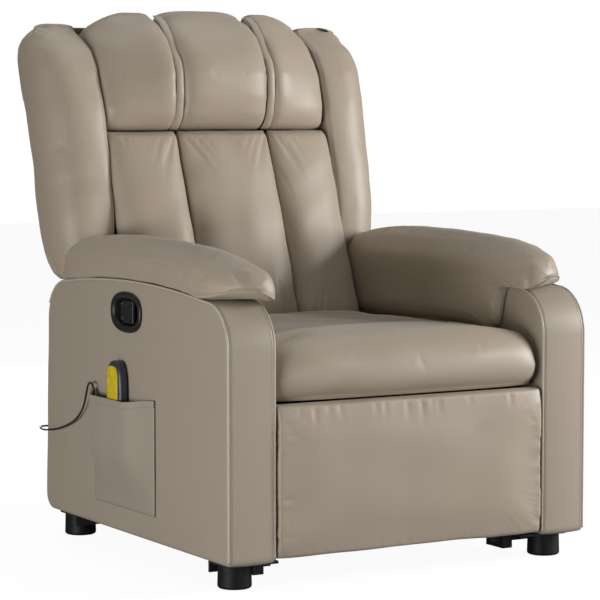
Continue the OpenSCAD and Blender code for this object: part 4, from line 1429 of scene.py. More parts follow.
@dataclass
class ArmShape:
    """The arm's side outline and the height of its top, as the frame has them."""

    front: float = -470.0
    low: float = 50.0
    top: float = 538.0
    front_round: float = 86.0
    rear_high: float = 301.0
    rear_low: float = 316.0
    rear_round: float = 85.0
    foot_round: float = 30.0
    arch: float = 70.0

    def centres(self) -> tuple[float, float, float, float]:
        """Centres of the front and the rear arc, each as y and z."""
        return (self.front + self.front_round, self.top - 17 - self.front_round,
                self.rear_high - self.rear_round, self.top - 16 - self.rear_round)

    def arched(self, t: Array) -> Array:
        """Height of the top at shares t of its run between the arcs: a line plus a parabola."""
        _, cz, _, rz = self.centres()
        z0, z1 = cz + self.front_round, rz + self.rear_round
        return z0 + (z1 - z0) * t + self.arch * t * (1 - t)

    def height(self, y: Array) -> Array:
        """Height of the arm's top at y: an arc at the front, then the arch."""
        cy, cz, ry, _ = self.centres()
        t = (y - cy) / (ry - cy)
        front = cz + np.sqrt(np.maximum(0.0, self.front_round**2 - (y - cy) ** 2))
        return np.where(t < 0, front, self.arched(t))

    def outline(self, count: int) -> Array:
        """The closed side outline in even steps, from the front's foot up and over.

        Args:
            count: Points wanted.

        Returns:
            Points (y, z).
        """
        cy, cz, ry, rz = self.centres()
        r = self.foot_round
        t = np.linspace(0, 1, 30)[1:-1]
        down = np.linspace(self.rear_high + 1, self.rear_low, 20)
        under = np.linspace(self.rear_low - r - 14, self.front + 22, 30)
        parts = [
            arc_points(self.front + 8, self.low + 8, 8, 270, 180, 4)[0],
            np.column_stack([np.full(24, self.front), np.linspace(self.low + 24, cz - 12, 24)]),
            arc_points(cy, cz, self.front_round, 180, 90, 14)[0],
            np.column_stack([cy + (ry - cy) * t, self.arched(t)]),
            arc_points(ry, rz, self.rear_round, 90, 4, 16)[0],
            np.column_stack([down, np.linspace(rz - 16, self.low + r + 12, 20)]),
            arc_points(self.rear_low - r, self.low + r, r, 0, -90, 8)[0],
            np.column_stack([under, np.full(30, self.low)]),
        ]
        return even_curve(np.vstack(parts), count, True)


@dataclass
class SideArm:
    """One arm in its hide: two side panels, a strip round the edge and piping between."""

    shape: ArmShape
    side: Side
    edge: float = 7.0
    steps: int = 420
    recess_size: tuple[float, float] = (53.0, 28.0)
    recess_deep: float = 26.0
    corner: float = 26.0
    corner_in: float = 22.0
    widest_step: float = 12.0

    def build(self) -> None:
        """Builds the cover, its piping and its stitches."""
        self.cover()
        self.piping()

    def cover(self) -> None:
        """The closed cover.

        Rings of the outline go from the middle of the outer panel, over a roll at its
        edge, across the crowned strip, and over the inner roll to the inner panel's middle.
        On the right arm the outer panel starts at the wall of the handle's recess instead.
        At the front's foot the panels' rings keep square to the corner, and a few slight
        pulls run back from the outer panel's front seam.
        """
        line = self.shape.outline(self.steps)
        normal = outline_normals(line, True)
        r, k = self.edge, self.side.value
        away = line - (self.shape.front, self.shape.low)
        squared = line - away + r + 4 + away * (self.corner_in - r) / self.corner
        inner = np.where((away < self.corner).all(1, keepdims=True), squared, line - normal * (r + 4))
        centre, half = line.mean(0), (HALF_WIDTH - ARM_INNER) / 2
        rings = []
        hub = centre + (inner - centre) * 0.02
        if self.side is Side.RIGHT:
            hub, deep = self.recess(inner), HALF_WIDTH - self.recess_deep
            floor = np.asarray(HANDLE_AT) + (hub - HANDLE_AT) * 0.04
            rings = [(floor, deep), (hub, deep), (hub, HALF_WIDTH - 1.6)]
        rings += [(hub + (inner - hub) * s, HALF_WIDTH - 0.6) for s in np.linspace(0.01, 0.985, 26)]
        turn = np.radians(np.linspace(90, 0, 6))
        roll = [(line - normal * r * (1 - math.cos(a)), r * (1 - math.sin(a))) for a in turn]
        rings += [(ring, HALF_WIDTH - set_in) for ring, set_in in roll]
        strip = np.linspace(HALF_WIDTH - r, ARM_INNER + r, 18)[1:-1]
        crown = 1.6 * (1 - ((strip - ARM_MIDDLE) / (half - r)) ** 2)
        rings += [(line + normal * c, x) for x, c in zip(strip, crown)]
        rings += [(ring, ARM_INNER + set_in) for ring, set_in in roll[::-1]]
        rings += [(centre + (inner - centre) * s, ARM_INNER + 0.4) for s in np.linspace(0.985, 0.02, 16)]
        grid = np.stack([at_x(k * x, ring) for ring, x in rings])
        seam = [(k * HALF_WIDTH, -462, z) for z in (110, 250, 400)]
        pulls = gathers(seam, (0, 1, 0.1), 5, 75 + k, 0.6, 7.0, (20, 60))
        moves = ripple(grid, 71 + k, 0.8, 190) + pressed(grid, pulls)
        out = np.abs(grid[..., 0]) - ARM_MIDDLE
        moves = np.where(out > 0, np.minimum(moves, 0.4), moves) * eased(np.abs(out) / 47 - 0.5)
        moves = np.where((out > 0) & (out < half - 4), 0, moves)
        grid[..., 0] += np.where(out > 0, k, -k) * moves
        name, nodes = f"arm_{self.side.word}_hide", [f"arm_cover_{self.side.word}"]
        # Fold depth for the hide's painted shade in its creases.
        fold = fold_share(moves, 4.0)
        piece = make_piece(name, Skin(grid).closed(), "chair", FINISH.hide_flat, nodes, fold)

    def recess(self, ring: Array) -> Array:
        """The recess's oval, with each point at the same bearing as the ring's."""
        away = ring - HANDLE_AT
        bearing = np.arctan2(away[:, 1] / self.recess_size[1], away[:, 0] / self.recess_size[0])
        oval = np.column_stack([np.cos(bearing), np.sin(bearing)])
        reach = (np.abs(oval) ** 2.5).sum(1, keepdims=True) ** (-1 / 2.5)
        return HANDLE_AT + oval * reach * self.recess_size

    def piping(self) -> None:
        """Thin piping on both edges of the strip, from the front's foot to the rear arc."""
        line = self.shape.outline(self.steps)
        picked = line[(line[:, 0] < self.shape.rear_high - 6) & (line[:, 1] > self.shape.low + 6)]
        gaps = np.linalg.norm(np.diff(picked, axis=0), axis=1)
        if gaps.max() > self.widest_step:
            picked = np.roll(picked, -(np.argmax(gaps > self.widest_step) + 1), axis=0)
        normal = outline_normals(picked, False)
        k, word = self.side.value, self.side.word
        for where, x, beside in (("outer", HALF_WIDTH - 1.6, -6.5), ("inner", ARM_INNER + 1.6, 6.5)):
            bead = tube(at_x(k * x, picked - normal * 1.4), 2.0, 8).closed()
            make_piece(f"arm_piping_{where}_{word}", bead, "chair", FINISH.piping)
            thread = stitches(at_x(k * (x + beside), picked + normal * 0.35))
            make_piece(f"arm_stitches_{where}_{word}", thread, "chair", FINISH.thread)


@dataclass
class ArmPad(Padded):
    """The pillow on an arm: over the top, down the inner face to the seat."""

    shape: ArmShape
    side: Side
    rows: int = 190
    columns: int = 150
    front: float = -452.0
    rear: float = 230.0
    nose: float = 32.0
    tail: float = 16.0
    inward: float = 23.0
    set_back: float = 70.0
    top: Table = (
        (-452, 570), (-442, 577), (-425, 583), (-401, 589), (-365, 598), (-300, 608), (-230, 614),
        (-100, 619), (20, 619), (120, 614), (180, 608), (230, 600))
    fat: Table = ((-452, 0.84), (-438, 0.9), (-401, 0.97), (-340, 1), (180, 1), (230, 0.94))
    drop: Table = ((-452, 2), (-380, 3), (-352, 10), (-342, 40), (-334, 74), (-300, 92), (230, 93))
    lift: Table = ((-452, 488), (-440, 498), (-420, 509), (-400, 517), (-385, 0))
    stitched: Table = (
        (224, 566), (80, 575), (-60, 580), (-160, 580), (-228, 577), (-290, 571), (-330, 564),
        (-350, 556), (-366, 548))
    drawn_in: Table = ((-402, 545), (-330, 564), (-228, 577), (-60, 580), (224, 566))
    pleats: Rows = (
        (290, -450, 500, 322, -446, 556, 2.6, 4.0), (290, -450, 500, 316, -447, 541, 2.4, 3.4),
        (290, -450, 500, 338, -444, 548, 2.0, 3.8), (284, -434, 532, 300, -436, 572, 2.4, 4.6),
        (280, -420, 538, 290, -420, 580, 1.8, 4.6), (276, -402, 528, 282, -392, 578, 1.8, 5.0),
        (352, -430, 530, 366, -420, 560, 1.6, 4.2), (334, -443, 562, 356, -420, 588, 1.5, 6.0),
        (376, -382, 536, 372, -392, 566, 1.4, 5.0))
    folds: Rows = (
        (391, -296, 556, 372, -318, 600, 2.2, 8.0), (391, -318, 534, 390, -292, 572, 1.6, 6.0),
        (389, -240, 548, 392, -232, 582, 0.9, 6.0), (390, 66, 566, 380, 40, 601, 2.0, 6.0),
        (391, 112, 540, 391, 116, 566, 1.1, 5.0), (391, 60, 538, 391, 62, 562, 1.0, 4.5),
        (390, 20, 572, 374, -20, 603, 1.2, 8.0), (386, -120, 590, 370, -170, 606, 1.0, 9.0),
        (350, -380, 604, 326, -330, 612, 1.4, 9.0), (318, -404, 596, 306, -340, 606, 1.4, 8.0))
    stuffing: Stuffing = Stuffing(cap=5.0, pressure=3.5)

    def skin(self) -> Skin:
        """The left pad.

        Each ring at y goes from the arm's outer edge over the top and down the inside, by
        15 corners set at shares of the pad's height; both ends roll in to their ring's
        middle.
        """
        y = self.front + end_spaced(self.rows, 0.8) * (self.rear - self.front)
        top, fat = looked_up(y, self.top, 10), looked_up(y, self.fat, 8)
        under = self.shape.height(y + self.fall(HALF_WIDTH - 4.0, y)) + 1.0
        seat = np.maximum(under, looked_up(y, self.lift, 4))
        rise, drop = top - seat, -looked_up(y, self.drop, 7)
        out = HALF_WIDTH + 2 - 26 * (1 - fat)
        inner = ARM_INNER - self.inward + 26 * (1 - fat)
        one = np.ones_like(y)
        xs = [
            one * (HALF_WIDTH - 4), out, out - 3, out - 12, out - 31, one * (ARM_MIDDLE + 12),
            one * (ARM_MIDDLE - 12), inner + 24, inner + 8, inner + 1, inner, inner + 1, inner + 4,
            one * (ARM_INNER - 2), one * (ARM_INNER - 1),
        ]
        up = [seat + share * rise for share in (0.22, 0.52, 0.76, 0.93)]
        down = [seat + share * rise for share in (0.91, 0.68, 0.34)]
        foot = [seat + share * drop for share in (0.4, 0.9, 1.0, 1.0)]
        zs = [seat, *up, top, top, *down, *foot, seat]
        x, z = np.stack(xs, 1), np.stack(zs, 1)
        end = rolled(y - self.front, self.nose, 2.5) * rolled(self.rear - y, self.tail, 2.6)
        cz, end = (seat + 0.42 * rise)[:, None], end[:, None]
        x = ARM_MIDDLE + (x - ARM_MIDDLE) * (0.35 + 0.65 * end)
        grid = np.stack([x, y[:, None] + self.fall(x, y[:, None]), cz + (z - cz) * end], -1)
        return Skin(even_curve(grid, self.columns, True))

    def fall(self, x: Array, y: Array) -> Array:
        """How far the nose falls back towards its outer side: the square of the share across."""
        across = np.maximum(0.0, np.abs(x) - ARM_INNER - 20.0) / 78.0
        return self.set_back * across**2 * np.clip((-330.0 - y) / 90.0, 0.0, 1.0)

    def held(self, skin: Skin) -> Array:
        """Sewn down where it lies on the arm."""
        p = skin.points
        over = p[..., 2] - self.shape.height(p[..., 1])
        inside = eased((p[..., 0] - ARM_INNER + 2) / 4)
        flap = eased((p[..., 0] - ARM_INNER + 8) / 5) * (1 - eased((over + 6) / 8))
        return np.clip(np.maximum((1 - eased((over - 4) / 10)) * inside, flap), 0, 1)

    def creases(self) -> list[Crease]:
        """The pleats at the nose, the long soft folds, and the gathers down the inner flap."""
        k = self.side.value
        flap = [(k * 274, y, z) for y, z in ((-398, 524), (-372, 520), (-350, 496), (-338, 462))]
        inside = gathers(flap, (0, 1, 0.45), 9, 85 + k, 2.6, 4.4, (16, 44))
        return single_creases(self.pleats, k) + single_creases(self.folds, k) + inside

    def build(self) -> None:
        """Builds the pad with its creases and with its seam, under which it is drawn in."""
        skin = self.filled()
        if self.side is Side.RIGHT:
            skin = skin.mirrored()
        k, word, p = self.side.value, self.side.word, skin.points
        tail = [(k * 388, 226, z) for z in (534, 560, 584)]
        creases = self.creases() + gathers(tail, (0, -1, 0.1), 5, 88 + k, 1.0, 5.0, (14, 40))
        edge = [(k * 391, -60, 580), (k * 391, 210, 567)]
        creases += gathers(edge, (0, 0.1, -1), 7, 91 + k, 0.8, 4.0, (8, 22))
        moves = pressed(p, creases) + ripple(p, 81 + k, 1.0, 130)
        seam = seam_line([(k * HALF_WIDTH, float(y), float(z)) for y, z in self.stitched], 1.5, 2.6, 40)
        below = (np.abs(p[..., 0]) > 376) & (p[..., 2] < looked_up(p[..., 1], self.drawn_in))
        moves = moves + pressed(p, seam, True) - 0.6 * below
        finish_skin(f"arm_pad_{word}_cushion", skin, moves, "chair", f"arm_pad_{word}")


# ---- seat and footrest


@dataclass
class Seat(Padded):
    """The seat cushion with its front roll and the sewn line behind it."""

    rows: int = 170
    columns: int = 190
    half: float = 284.0
    high: float = 456.0
    low: float = 334.0
    front: float = -480.0
    ridge: float = -324.0
    crown: Table = ((-372, -2), (-330, 0), (-290, 1), (-230, 2), (-110, 0), (0, -4))
    stuffing: Stuffing = Stuffing(cap=5.0, pressure=3.0)

    def skin(self) -> Skin:
        """The cushion.

        Each slice across X is a side outline of arcs: the front's lower roll, its big upper
        roll, a nearly flat top and a rear arc. The outline loses height and length towards
        the sides by a swell of power 4.
        """
        u = -np.cos(np.pi * np.linspace(0, 1, self.rows))
        full = swell((u + 1) / 2, 3.4)
        high = self.high - 2 - 38 * (1 - full)
        front = self.front + 33 * (1 - full)
        low = np.full_like(u, self.low)

        def corner(y: float | Array, z: Array) -> Array:
            """One corner of every slice."""
            return np.stack([np.broadcast_to(y, u.shape), z], -1)[:, None]

        parts = [
            corner(front + 33, low + 4),
            arc_points(front + 42, low + 45, 42, 235, 180, 4),
            arc_points(front + 60, high - 61, 60, 168, 96, 6),
            *(corner(y, high + up) for y, up in self.crown),
            arc_points(78 - 24 * (1 - full), high - 34, 28, 90, 0, 4),
            *(corner(y, low) for y in (98 - 14 * (1 - full), -100.0, -300.0)),
        ]
        ring = np.concatenate(parts, axis=1)
        x = np.broadcast_to((u * self.half)[:, None, None], (*ring.shape[:2], 1))
        return Skin(even_curve(np.concatenate([x, ring], -1), self.columns, True))
        return Skin(even_curve(grid, self.columns, True))

    def held(self, skin: Skin) -> Array:
        """Sewn down underneath and at the sides."""
        p = skin.points
        under = 1 - eased((p[..., 2] - self.low - 4) / 16)
        sides = eased((np.abs(p[..., 0]) - self.half + 10) / 8)
        return np.maximum(under, sides)

    def build(self) -> None:
        """Builds the cushion with its ridge, and gathers along the ridge and the roll."""
        skin = self.filled()
        p = skin.points
        ridge = [
            (x, self.ridge - 14 * (abs(x) / self.half) ** 2, 455 - 16 * (abs(x) / self.half) ** 4)
            for x in (-278, -180, -60, 60, 180, 278)
        ]
        moves = pressed(p, seam_line(ridge, 1.6, 3.0, 22), True)
        behind = eased((p[..., 1] - self.ridge) / 26) * eased((p[..., 2] - 420) / 12)
        moves = moves - 5.0 * behind * (1 - eased((p[..., 1] - self.ridge - 120) / 260) * 0.5)
        creases = gathers(ridge, (0, 1, 0), 16, 95, 1.1, 6, (18, 50))
        creases += gathers(ridge, (0, -1, -0.1), 10, 96, 0.7, 6, (12, 30))
        for k, seed in ((-1, 97), (1, 98)):
            edge = [(k * 278, -470, 350), (k * 279, -474, 400), (k * 276, -440, 432)]
            creases += gathers(edge, (-k, 0, 0.1), 6, seed, 1.2, 5, (14, 36))
        moves = moves + pressed(p, creases) + ripple(p, 94, 1.5, 160)
        moves = np.where(p[..., 2] < self.low + 6, 0, moves)
        finish_skin("seat_cushion_cover", skin, moves, "chair", "seat_cushion")


@dataclass
class FootrestPad(Padded):
    """The padded panel under the seat that swings out as a footrest."""

    rows: int = 180
    columns: int = 250
    half: float = 287.0
    front: float = -484.0
    thick: float = 30.0
    low: float = 57.0
    high: float = 334.0
    pulls: Table = (
        (-246, 26), (-214, 64), (-185, 30), (-161, 40), (-85, 40), (-65, 46), (-15, 58), (17, 74),
        (38, 30), (51, 52), (120, 22), (213, 36))
    stuffing: Stuffing = Stuffing(cap=3.5, pressure=2.5)

    def skin(self) -> Skin:
        """The pad: each slice across X has a flat rear and a crowned front.

        The front is the thickness times the swell of the height and of the width, so that
        all four edges roll back.
        """
        u = -np.cos(np.pi * np.linspace(0, 1, self.rows))
        side = swell((u + 1) / 2, 6)
        v = np.cos(np.pi * np.linspace(0, 1, 33))
        up = 0.25 + 0.75 * swell((v + 1) / 2, 5)
        middle, tall = (self.high + self.low) / 2, (self.high - self.low) / 2
        rear = self.front + self.thick
        y = rear - (self.thick - 1.5) * up[None, :] * (0.25 + 0.75 * side)[:, None]
        z = middle + tall * v[None, :] * np.ones_like(y)
        back = np.linspace(1, -1, 13)[::-1]
        y = np.concatenate([y, np.full((self.rows, 13), rear)], 1)
        z = np.concatenate([z, np.broadcast_to(middle + tall * back, (self.rows, 13))], 1)
        x = np.broadcast_to((u * self.half)[:, None], y.shape)
        return Skin(even_curve(np.stack([x, y, z], -1), self.columns, True))

    def held(self, skin: Skin) -> Array:
        """Stapled down at the rear and round all four edges."""
        p = skin.points
        rear = eased((p[..., 1] - self.front - self.thick + 10) / 7)
        ends = np.minimum(self.high - p[..., 2], p[..., 2] - self.low)
        rim = np.minimum(self.half - np.abs(p[..., 0]), ends)
        return np.maximum(rear, 1 - eased(rim / 9))

    def build(self) -> None:
        """Builds the pad with the gathers under its top seam and the pulls down its sides."""
        skin = self.filled()
        y, top, p = self.front + 6, self.high - 6, skin.points
        creases = [
            Crease((x, y, top), (x + 4 * math.sin(x), y - 3, top - 0.9 * long), 0.7 + long / 70, 5.4)
            for x, long in self.pulls
        ]
        for k, seed in ((-1, 101), (1, 102)):
            edge = [(k * 283, self.front + 20, z) for z in (80, 150, 230, 300)]
            creases += gathers(edge, (-k, -0.28, 0.25), 15, seed, 5.0, 6.5, (16, 46))
        foot = [(-240, y, self.low + 6), (240, y, self.low + 6)]
        creases += gathers(foot, (0, -0.1, 1), 12, 104, 0.9, 5, (10, 26))
        moves = pressed(p, creases) + ripple(p, 103, 1.2, 140)
        moves = np.minimum(np.where(p[..., 1] > self.front + self.thick - 3, 0, moves), 1.2)
        finish_skin("footrest_cushion", skin, moves, "panel", "footrest_pad")


@dataclass
class RearApron:
    """The hide panel that closes the chair's rear under the back."""

    half: float = 291.0
    low: float = 61.0
    high: float = 329.0
    rear: float = 299.0
    tight_at: Table = ((-235, 190), (150, 110))

    def build(self) -> None:
        """Builds the panel, drawn tight round the gland and the inlet, and its hem's stitches."""
        x, z = np.meshgrid(np.linspace(-self.half, self.half, 120), np.linspace(self.low, self.high, 60))
        up = (z - self.low) / (self.high - self.low)
        wave = 1.8 * np.sin(x / 43.0) * (1 - up) + 0.8 * np.sin(x / 17.0 + z / 60)
        hem = 1.0 * (1 - eased(np.abs(z - self.low - 16) / 3.0))
        y = self.rear - 2.4 + 0.5 * wave - hem
        near = sum(np.exp(-(((x - a) ** 2 + (z - b) ** 2) / 26**2)) for a, b in self.tight_at)
        y = y + (self.rear - 0.6 - y) * np.clip(near * 1.2, 0, 1)
        shell = sheet_shell(np.stack([x, y, z], -1), 2.6)
        piece = make_piece("rear_apron_hide", shell, "chair", FINISH.hide_flat, ["rear_panel"])
        path = np.empty((160, 3))
        path[:] = (0.0, self.rear + 0.2, self.low + 20.0)
        path[:, 0] = np.linspace(-self.half + 4, self.half - 4, 160)
        make_piece("rear_apron_stitches", stitches(path, 4.0, 2.4), "chair", FINISH.thread)


# ---- pocket, handle, handset


@dataclass
class SidePocket:
    """The patch pocket on the right arm, bellied out where the handset sits."""

    y0: float = -184.0
    y1: float = 74.0
    low: float = 100.0
    high: float = 320.0
    belly: float = 24.0
    hem: float = 13.0
    wall: float = 1.6
    flat_wide: float = 0.274

    def grid(self, rows: int, columns: int, z0: float, z1: float, extra: float = 0.0) -> Array:
        """The pocket's face as a grid.

        It stands off the arm by the belly times two smooth steps along its width and one up
        its height, with soft upright folds, and meets the arm along three sides.

        Args:
            rows: Steps up.
            columns: Steps along.
            z0: Lowest level.
            z1: Highest level.
            extra: Added stand-off.

        Returns:
            Points of shape (rows, columns, 3).
        """
        y = np.linspace(self.y0, self.y1, columns)
        z = np.linspace(z0, z1, rows)
        gy, gz = np.meshgrid(y, z)
        along = eased((gy - self.y0) / 92) * eased((self.y1 - gy) / 34)
        up = eased((gz - self.low - 6) / 118)
        fold = 1.1 * np.sin(gy / 13.0 + gz / 150) * eased((gz - self.low) / 50) * eased((gy - self.y0) / 30)
        fold = fold * (1 - 0.6 * along) * eased((self.y1 - gy) / 20)
        edge = np.minimum.reduce([gy - self.y0, self.y1 - gy, gz - self.low])
        off = 1.6 + self.belly * along * up + fold + 1.4 * eased(edge / 8) + extra
        sag = -9.0 * along * eased((gz - 250) / 70)
        return np.stack([-(HALF_WIDTH + off), gy, gz + sag], -1)

    def build(self) -> None:
        """Builds the face, its turned hem, and their stitches."""
        face = sheet_shell(self.grid(70, 90, self.low, self.high - 3), self.wall)
        cloth = make_piece("pocket_face", face, "chair", FINISH.hide_pocket, ["side_pocket"])
        hem = sheet_shell(self.grid(8, 90, self.high - self.hem, self.high, 0.9), self.wall + 1.4)
        band = make_piece("pocket_hem", hem, "chair", FINISH.hide_pocket)
        hem_z = self.high - self.hem + 1.6
        lines = {
            "hem": self.grid(1, 200, hem_z, hem_z, 1.5)[0],
            "front": self.grid(120, 60, self.low + 4, self.high - 4, 0.5)[:, 1],
            "rear": self.grid(120, 60, self.low + 4, self.high - 4, 0.5)[:, -2],
            "foot": self.grid(60, 200, self.low, self.high, 0.5)[1],
        }
        for word, path in lines.items():
            thread = stitches(path, 3.0, 1.8, 0.4)
            make_piece(f"pocket_stitches_{word}", thread, "chair", FINISH.thread)


@dataclass
class ReleaseHandle:
    """The recessed handle in the right arm: a soft-edged bezel with a T-shaped paddle."""

    width: float = 128.0
    height: float = 78.0
    cup_width: float = 101.0
    cup_height: float = 51.0
    floor_x: float = -367.9
    back_x: float = -366.2
    pivot_x: float = -383.0
    pivot_y: float = -34.0

    def oval(self, width: float, height: float) -> Array:
        """A superellipse about the handle's middle, as (y, z)."""
        return np.asarray(HANDLE_AT) + soft_square(96, 2.5) * [width / 2, height / 2]

    def build(self) -> None:
        """Builds the bezel and the paddle."""
        self.bezel()
        self.paddle()

    def bezel(self) -> None:
        """Ovals from the cup's floor out over the rim to the arm, then behind the cup."""
        w, h, cw, ch = self.width, self.height, self.cup_width, self.cup_height
        ovals = (
            (self.floor_x, 4, 3), (self.floor_x, cw * 0.4, ch * 0.4), (self.floor_x, cw - 12, ch - 12),
            (-368.6, cw - 5, ch - 5), (-371.0, cw - 2, ch - 2), (-380.0, cw - 1, ch - 1),
            (-389.0, cw + 0.6, ch + 0.6), (-392.4, cw + 3, ch + 3), (-394.2, cw + 7, ch + 7),
            (-395.2, w - 12, h - 12), (-395.4, w - 8, h - 8), (-394.8, w - 4, h - 4),
            (-393.4, w - 1.2, h - 1.2), (-391.5, w, h), (-389.6, w - 1, h - 1),
            (-388.6, cw + 4, ch + 4), (self.back_x, cw, ch), (self.back_x, cw * 0.4, ch * 0.4),
            (self.back_x, 4, 3),
        )
        skin = Skin(np.stack([at_x(x, self.oval(wide, tall)) for x, wide, tall in ovals]))
        nodes = ["handle_bezel"]
        make_piece("handle_bezel_moulding", skin.closed(), "chair", FINISH.plastic, nodes)

    def paddle(self) -> None:
        """The T: a wide dished plate for the fingers, its narrow tongue and the barrel."""
        c, y3 = HANDLE_AT[1], self.pivot_y - 1
        y1, y2 = self.pivot_y - 54, self.pivot_y - 10
        corners = [
            (y1, c - 22), (y2, c - 22), (y2, c - 12), (y3, c - 12),
            (y3, c + 12), (y2, c + 12), (y2, c + 22), (y1, c + 22),
        ]
        plate = rounded_plate(softened(np.asarray(corners, float), 3.0), (-389.0, self.pivot_x), 1.8, 0.9)
        make_piece("paddle_plate", plate, "paddle", FINISH.plastic, ["pull_paddle"])
        up = np.array([-17, -16.5, -16, -6, 6, 16, 16.5, 17])
        r = np.array([3.6, 4.3, 4.5, 4.5, 4.5, 4.5, 4.3, 3.6])
        path = np.column_stack([np.full(8, self.pivot_x), np.full(8, self.pivot_y), c + up])
        make_piece("paddle_barrel", tube(path, r, 28).closed(), "paddle", FINISH.plastic)

@dataclass
class Handset:
    """The wired handset: a slate shell with a yellow key panel and four keys."""

    y: float = -44.0
    low: float = 234.0
    high: float = 384.0
    width: float = 62.0
    inner_x: float = 391.5
    outer_x: float = 411.5
    marked: Rows = (
        (-14, 30, 5), (14, 30, 5), (-14, 62, 4), (14, 62, 4), (0, 74, 6), (0, 84, 6), (-10, 90, 3),
        (10, 90, 3))

    def build(self) -> None:
        """Builds the shell, the key panel and the marks."""
        self.shell()
        self.panel()
        self.marks()

    def shell(self) -> None:
        """A pebble: superellipse rings set in by a roll at both faces, narrower at the foot."""
        c = np.array([self.y, (self.low + self.high) / 2])
        half = np.array([self.width / 2, (self.high - self.low) / 2])
        ring = soft_square(110, 3.1) * half
        ring[:, 0] *= 1 - 0.10 * eased((-ring[:, 1]) / 75)
        deep = self.outer_x - self.inner_x
        a = np.radians(np.linspace(0, 90, 9))
        rings = []
        for share, angle in [(-1, x) for x in a[::-1]] + [(1, x) for x in a]:
            inset = 9.0 * (1 - math.cos(angle))
            x = (self.outer_x + self.inner_x) / 2 + share * (deep / 2 - 7 + 7 * math.sin(angle))
            rings.append(at_x(-x, c + ring * (1 - inset / half)))
        poles = [at_x(end[0, 0], c + ring * 0.05) for end in (rings[0], rings[-1])]
        shell = Skin(np.stack([poles[0], *rings, poles[1]])).closed()
        make_piece("handset_body", shell, "handset", FINISH.shell, ["handset_shell"])

    def panel(self) -> None:
        """The yellow panel, a plate with rolled edges let into the shell's face."""
        ring = soft_square(80, 4.0) * [self.width / 2 - 8.5, 46.0] + [self.y, self.high - 56.0]
        plate = rounded_plate(ring, (-self.outer_x - 0.9, -self.outer_x + 1.5), 0.8)
        make_piece("handset_panel", plate, "handset", FINISH.face, ["handset_face"])

    def marks(self) -> None:
        """Plain bars and dots beside the keys."""
        parts, faces, done = [], [], 0
        for dy, dz, long in self.marked:
            outline = soft_square(16, 3.0) * [long / 2, 0.7] + [self.y + dy, self.high - dz]
            verts, made = rounded_plate(outline, (-self.outer_x - 1.15, -self.outer_x - 0.6), 0.12)
            parts.append(verts)
            faces += [f + done for f in made]
            done += len(verts)
        make_piece("handset_marks", (np.vstack(parts), faces), "handset", FINISH.mark)


@dataclass
class HandsetLead:
    """The handset's lead, from the gland behind the chair round into the pocket."""

    diameter: float = 4.0
    steps: int = 6
    gland: Place = (-235.0, 318.0, 190.0)
    handset_low: float = 234.0

    def route(self) -> Array:
        """The frame's route, smoothed by the same cubic, from the gland to the handset."""
        x = -HALF_WIDTH - 12
        low = self.handset_low
        gx, gy, gz = self.gland
        places = [
            (x, -44, low), (x, -44, low - 10), (x, -44, low - 32), (x, -30, low - 56), (x, 5, 176), (x, 36, 205),
            (x, 50, 260), (x, 60, 318), (x - 1, 70, 330), (x, 86, 322), (x + 2, 112, 278), (x + 4, 158, 246),
            (x + 5, 232, 222), (x + 5, 300, 211), (x + 7, 330, 212), (x + 20, 343, 213), (x + 52, 342, 211),
            (-300, 345, 204), (-258, 350, 196), (gx - 3, 344, gz + 1), (gx, 334, gz), (gx, 326, gz), (gx, gy, gz),
        ]
        line = np.asarray(places, float)
        at = np.linspace(0, len(line) - 1, (len(line) - 1) * self.steps + 1)
        return catmull(line, at, False)[::-1]

    def build(self) -> None:
        """Builds the lead and the tapered boots at its two ends."""
        path = self.route()
        cord = tube(path, self.diameter / 2, 12).closed()
        lead = make_piece("handset_lead", cord, "", FINISH.lead, ["handset_cord"])
        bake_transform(lead)
        shares = np.linspace(0, 1, 30)
        radius = 4.2 - 1.7 * shares + 0.28 * np.sign(np.sin(shares * 34)) * (shares < 0.85)
        ends = (("lead_boot_handset", path[::-1], "handset"), ("lead_boot_gland", path, "chair"))
        for name, end, body in ends:
            boot = tube(even_curve(end[:10], 30, False), radius, 18).closed()
            make_piece(name, boot, body, FINISH.lead)
        metres = (path + [MIDDLE_X, 0, 0]) * MM

    @staticmethod
    def at(y: float) -> Place:
        """A point of the blend line, in metres."""
        return ((-HALF_WIDTH - 12 + MIDDLE_X) * MM, y * MM, 0.2)


# ---- frame parts and stage


@dataclass
class FrameFinishes:
    """Which finish each of the frame's own nodes gets."""

    def build(self, frame: dict) -> None:
        """Assigns the finishes.
        """
        groups = {
            FINISH.steel: "base_frame lift_arms strut_cylinder mechanism_plate_left mechanism_plate_right "
                          "front_cross_tube rear_cross_tube back_frame footrest_link_rear footrest_link_front",
            FINISH.zinc: "foot_screws strut_rod seat_springs latch_pawl seat_weight_left seat_weight_right "
                         "back_weight_left back_weight_right back_hinge_pins",
            FINISH.timber: "seat_frame arm_frame_left arm_frame_right footrest_board",
            FINISH.lining: "seat_deck heating_pad",
            FINISH.foot: "base_feet",
            FINISH.plastic: "control_box power_inlet cord_gland seat_motors back_motors",
            FINISH.lead: "release_cable",
            FINISH.key: "button_power button_mode button_intensity button_heat",
        }
        for finish, nodes in groups.items():
            for node in nodes.split():
                materials = frame["nodes"][node].data.materials
                materials.clear()
                materials.append(finish.material())


